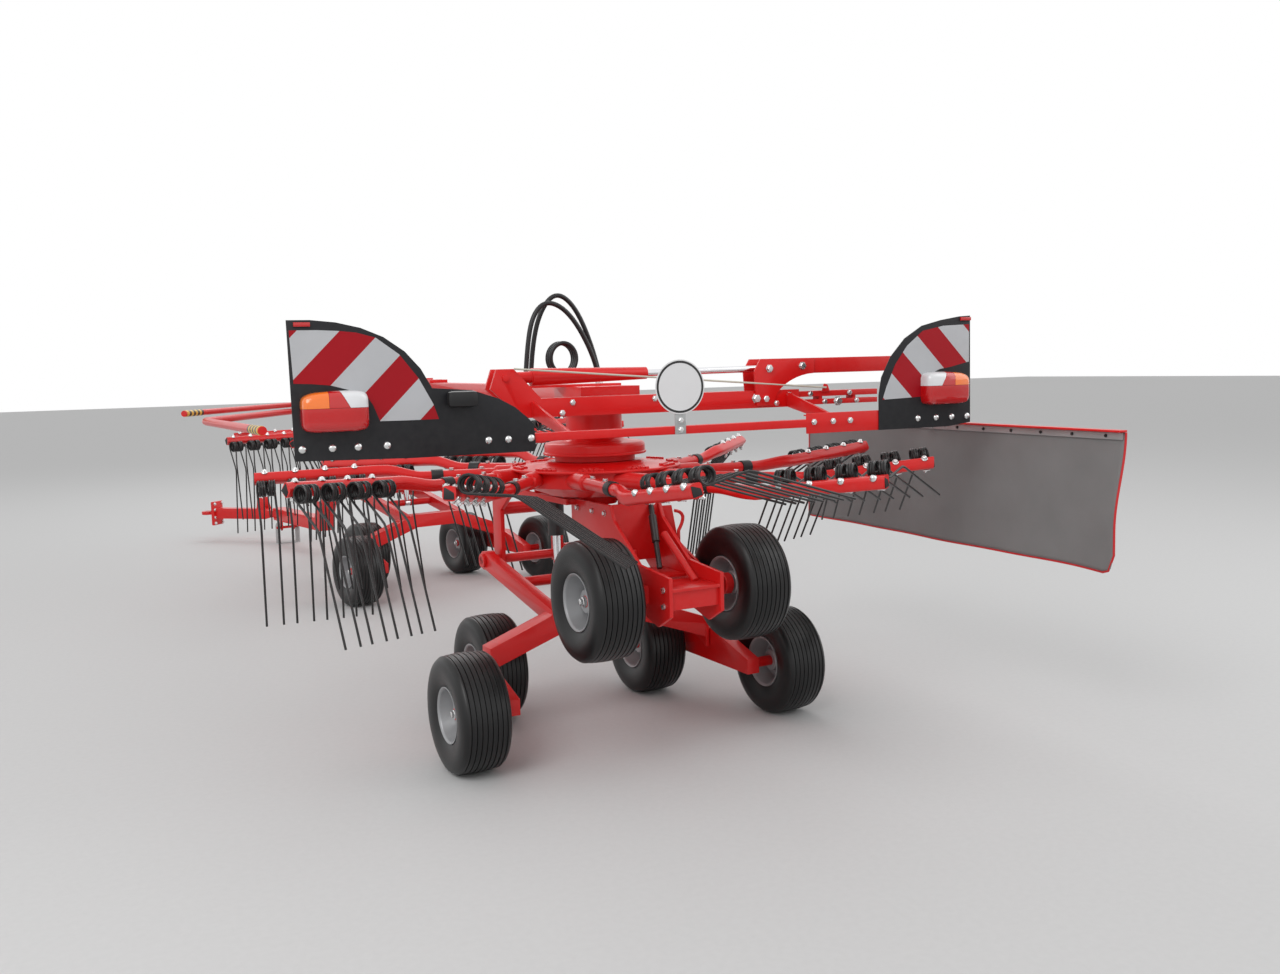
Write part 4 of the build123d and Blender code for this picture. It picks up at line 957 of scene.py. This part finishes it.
loop = [(-0.07, 0.03, 1.475)] + loop + [(-0.15, 0.09, 1.475)]
hoseMeshes.append(wireMesh([rearPlace @ Vector(p) for p in loop], 0.009, 3, kind="NURBS"))
standsFor("hydraulic_hoses", "hosePair", joined(hoseMeshes), hoseRubber, "rear_boom")
ferrule = turnedMesh(((0, 0), (0.014, 0), (0.014, 0.014), (0.0125, 0.016), (0.0125, 0.04), (0.0135, 0.043),
    (0.0135, 0.05), (0.0105, 0.054), (0, 0.054)), 12)
repeated("hoseFerrules", ferrule, ferrules, zincBolt, "rear_boom")
print("hoses made")

# Drawbar head: tongue, square tube, flange, eye and the upright bracket
head = {"slabs": (((-40, 0, 217.8), (40, 130, 282.2), 3), ((-70, 655, 140), (70, 685, 360), 6),
        ((-27.5, 680, 235), (27.5, 770, 265), 3)),
    "tube": ((82, 218), (130, 202), (655, 202), (655, 298), (130, 298), (82, 282)),
    "bracket": ((120, 290), (215, 290), (200, 400), (150, 400))}
drawParts = slabs(drawbarPlace, head["slabs"]) + [rod(drawbarPlace, (0, 0, 217.8), (0, 0, 282.2), 52, 32, 2)]
drawParts.append(sidePlate(drawbarPlace, -48, 96, head["tube"], 5))
eyeProfile = ((0.025, 0.235), (0.052, 0.235), (0.055, 0.238), (0.055, 0.262), (0.052, 0.265), (0.025, 0.265),
    (0.025, 0.235))
drawParts.append(placed(turnedMesh(eyeProfile, 40), drawbarPlace @ spot(0, 0.77)))
for x in (-48, 42):
    drawParts.append(sidePlate(drawbarPlace, x, 6, head["bracket"], 1.5))
standsFor("drawbar", "drawbarHead", joined(drawParts), redPaint, "drawbar")
flangeBolts = [facingBack(drawbarPlace, x, 655, z) for x in (-54, 54) for z in (160, 215, 285, 340)]
fasteners("flangeBolts", hexHead, flangeBolts, "drawbar", size=1.3)
print("drawbar made")

# Floor, backdrop light and lamps
floorMesh = bpy.data.meshes.new("floor")
floorMesh.from_pydata([(-60, -60, 0), (60, -60, 0), (60, 60, 0), (-60, 60, 0)], [], [(0, 1, 2, 3)])
floor = newObject("floor", floorMesh)
floorMat = bpy.data.materials.new("paleFloor")
floorMat.use_nodes = True
floorTree = floorMat.node_tree
floorShader = floorTree.nodes["Principled BSDF"]
setInputs(floorShader, {"Roughness": 0.85})
floorNoise = floorTree.nodes.new("ShaderNodeTexNoise")
setInputs(floorNoise, {"Scale": 40})
floorPlace = floorTree.nodes.new("ShaderNodeTexCoord")
floorTree.links.new(floorPlace.outputs["Object"], floorNoise.inputs["Vector"])
floorTree.links.new(addMix(floorTree, floorNoise.outputs["Fac"], (0.6, 0.6, 0.6, 1), (0.64, 0.64, 0.64, 1)),
    floorShader.inputs["Base Color"])
floorMesh.materials.append(floorMat)

world = bpy.data.worlds.new("studio")
bpy.context.scene.world = world
world.use_nodes = True
worldTree = world.node_tree
backdrop = worldTree.nodes["Background"]
sky = worldTree.nodes.new("ShaderNodeBackground")
rays = worldTree.nodes.new("ShaderNodeLightPath")
blendSky = worldTree.nodes.new("ShaderNodeMixShader")
setInputs(backdrop, {"Color": (1, 1, 1, 1), "Strength": 0.66})
setInputs(sky, {"Color": (1, 1, 1, 1), "Strength": 1.0})
seen = addMath(worldTree, "MAXIMUM", rays.outputs["Is Camera Ray"], rays.outputs["Is Glossy Ray"])
seen = addMath(worldTree, "MAXIMUM", seen, rays.outputs["Is Transmission Ray"])
worldTree.links.new(seen, blendSky.inputs[0])
worldTree.links.new(backdrop.outputs[0], blendSky.inputs[1])
worldTree.links.new(sky.outputs[0], blendSky.inputs[2])
worldTree.links.new(blendSky.outputs[0], worldTree.nodes["World Output"].inputs["Surface"])

lamps = {"key": ((-6, -8, 7), 5.0, 320), "fill": ((7, -6, 6), 6.0, 170), "back": ((2, 8, 8), 6.0, 200)}
for lampName, (lampSpot, lampSize, lampPower) in lamps.items():
    lampData = bpy.data.lights.new(lampName, "AREA")
    lampData.size = lampSize
    lampData.energy = lampPower
    lamp = newObject(lampName, lampData)
    lamp.location = lampSpot
    lamp.rotation_euler = (Vector((0, -0.5, 0.8)) - Vector(lampSpot)).to_track_quat("-Z", "Y").to_euler()
bpy.context.scene.view_settings.view_transform = "Standard"
print("stage and lamps set")
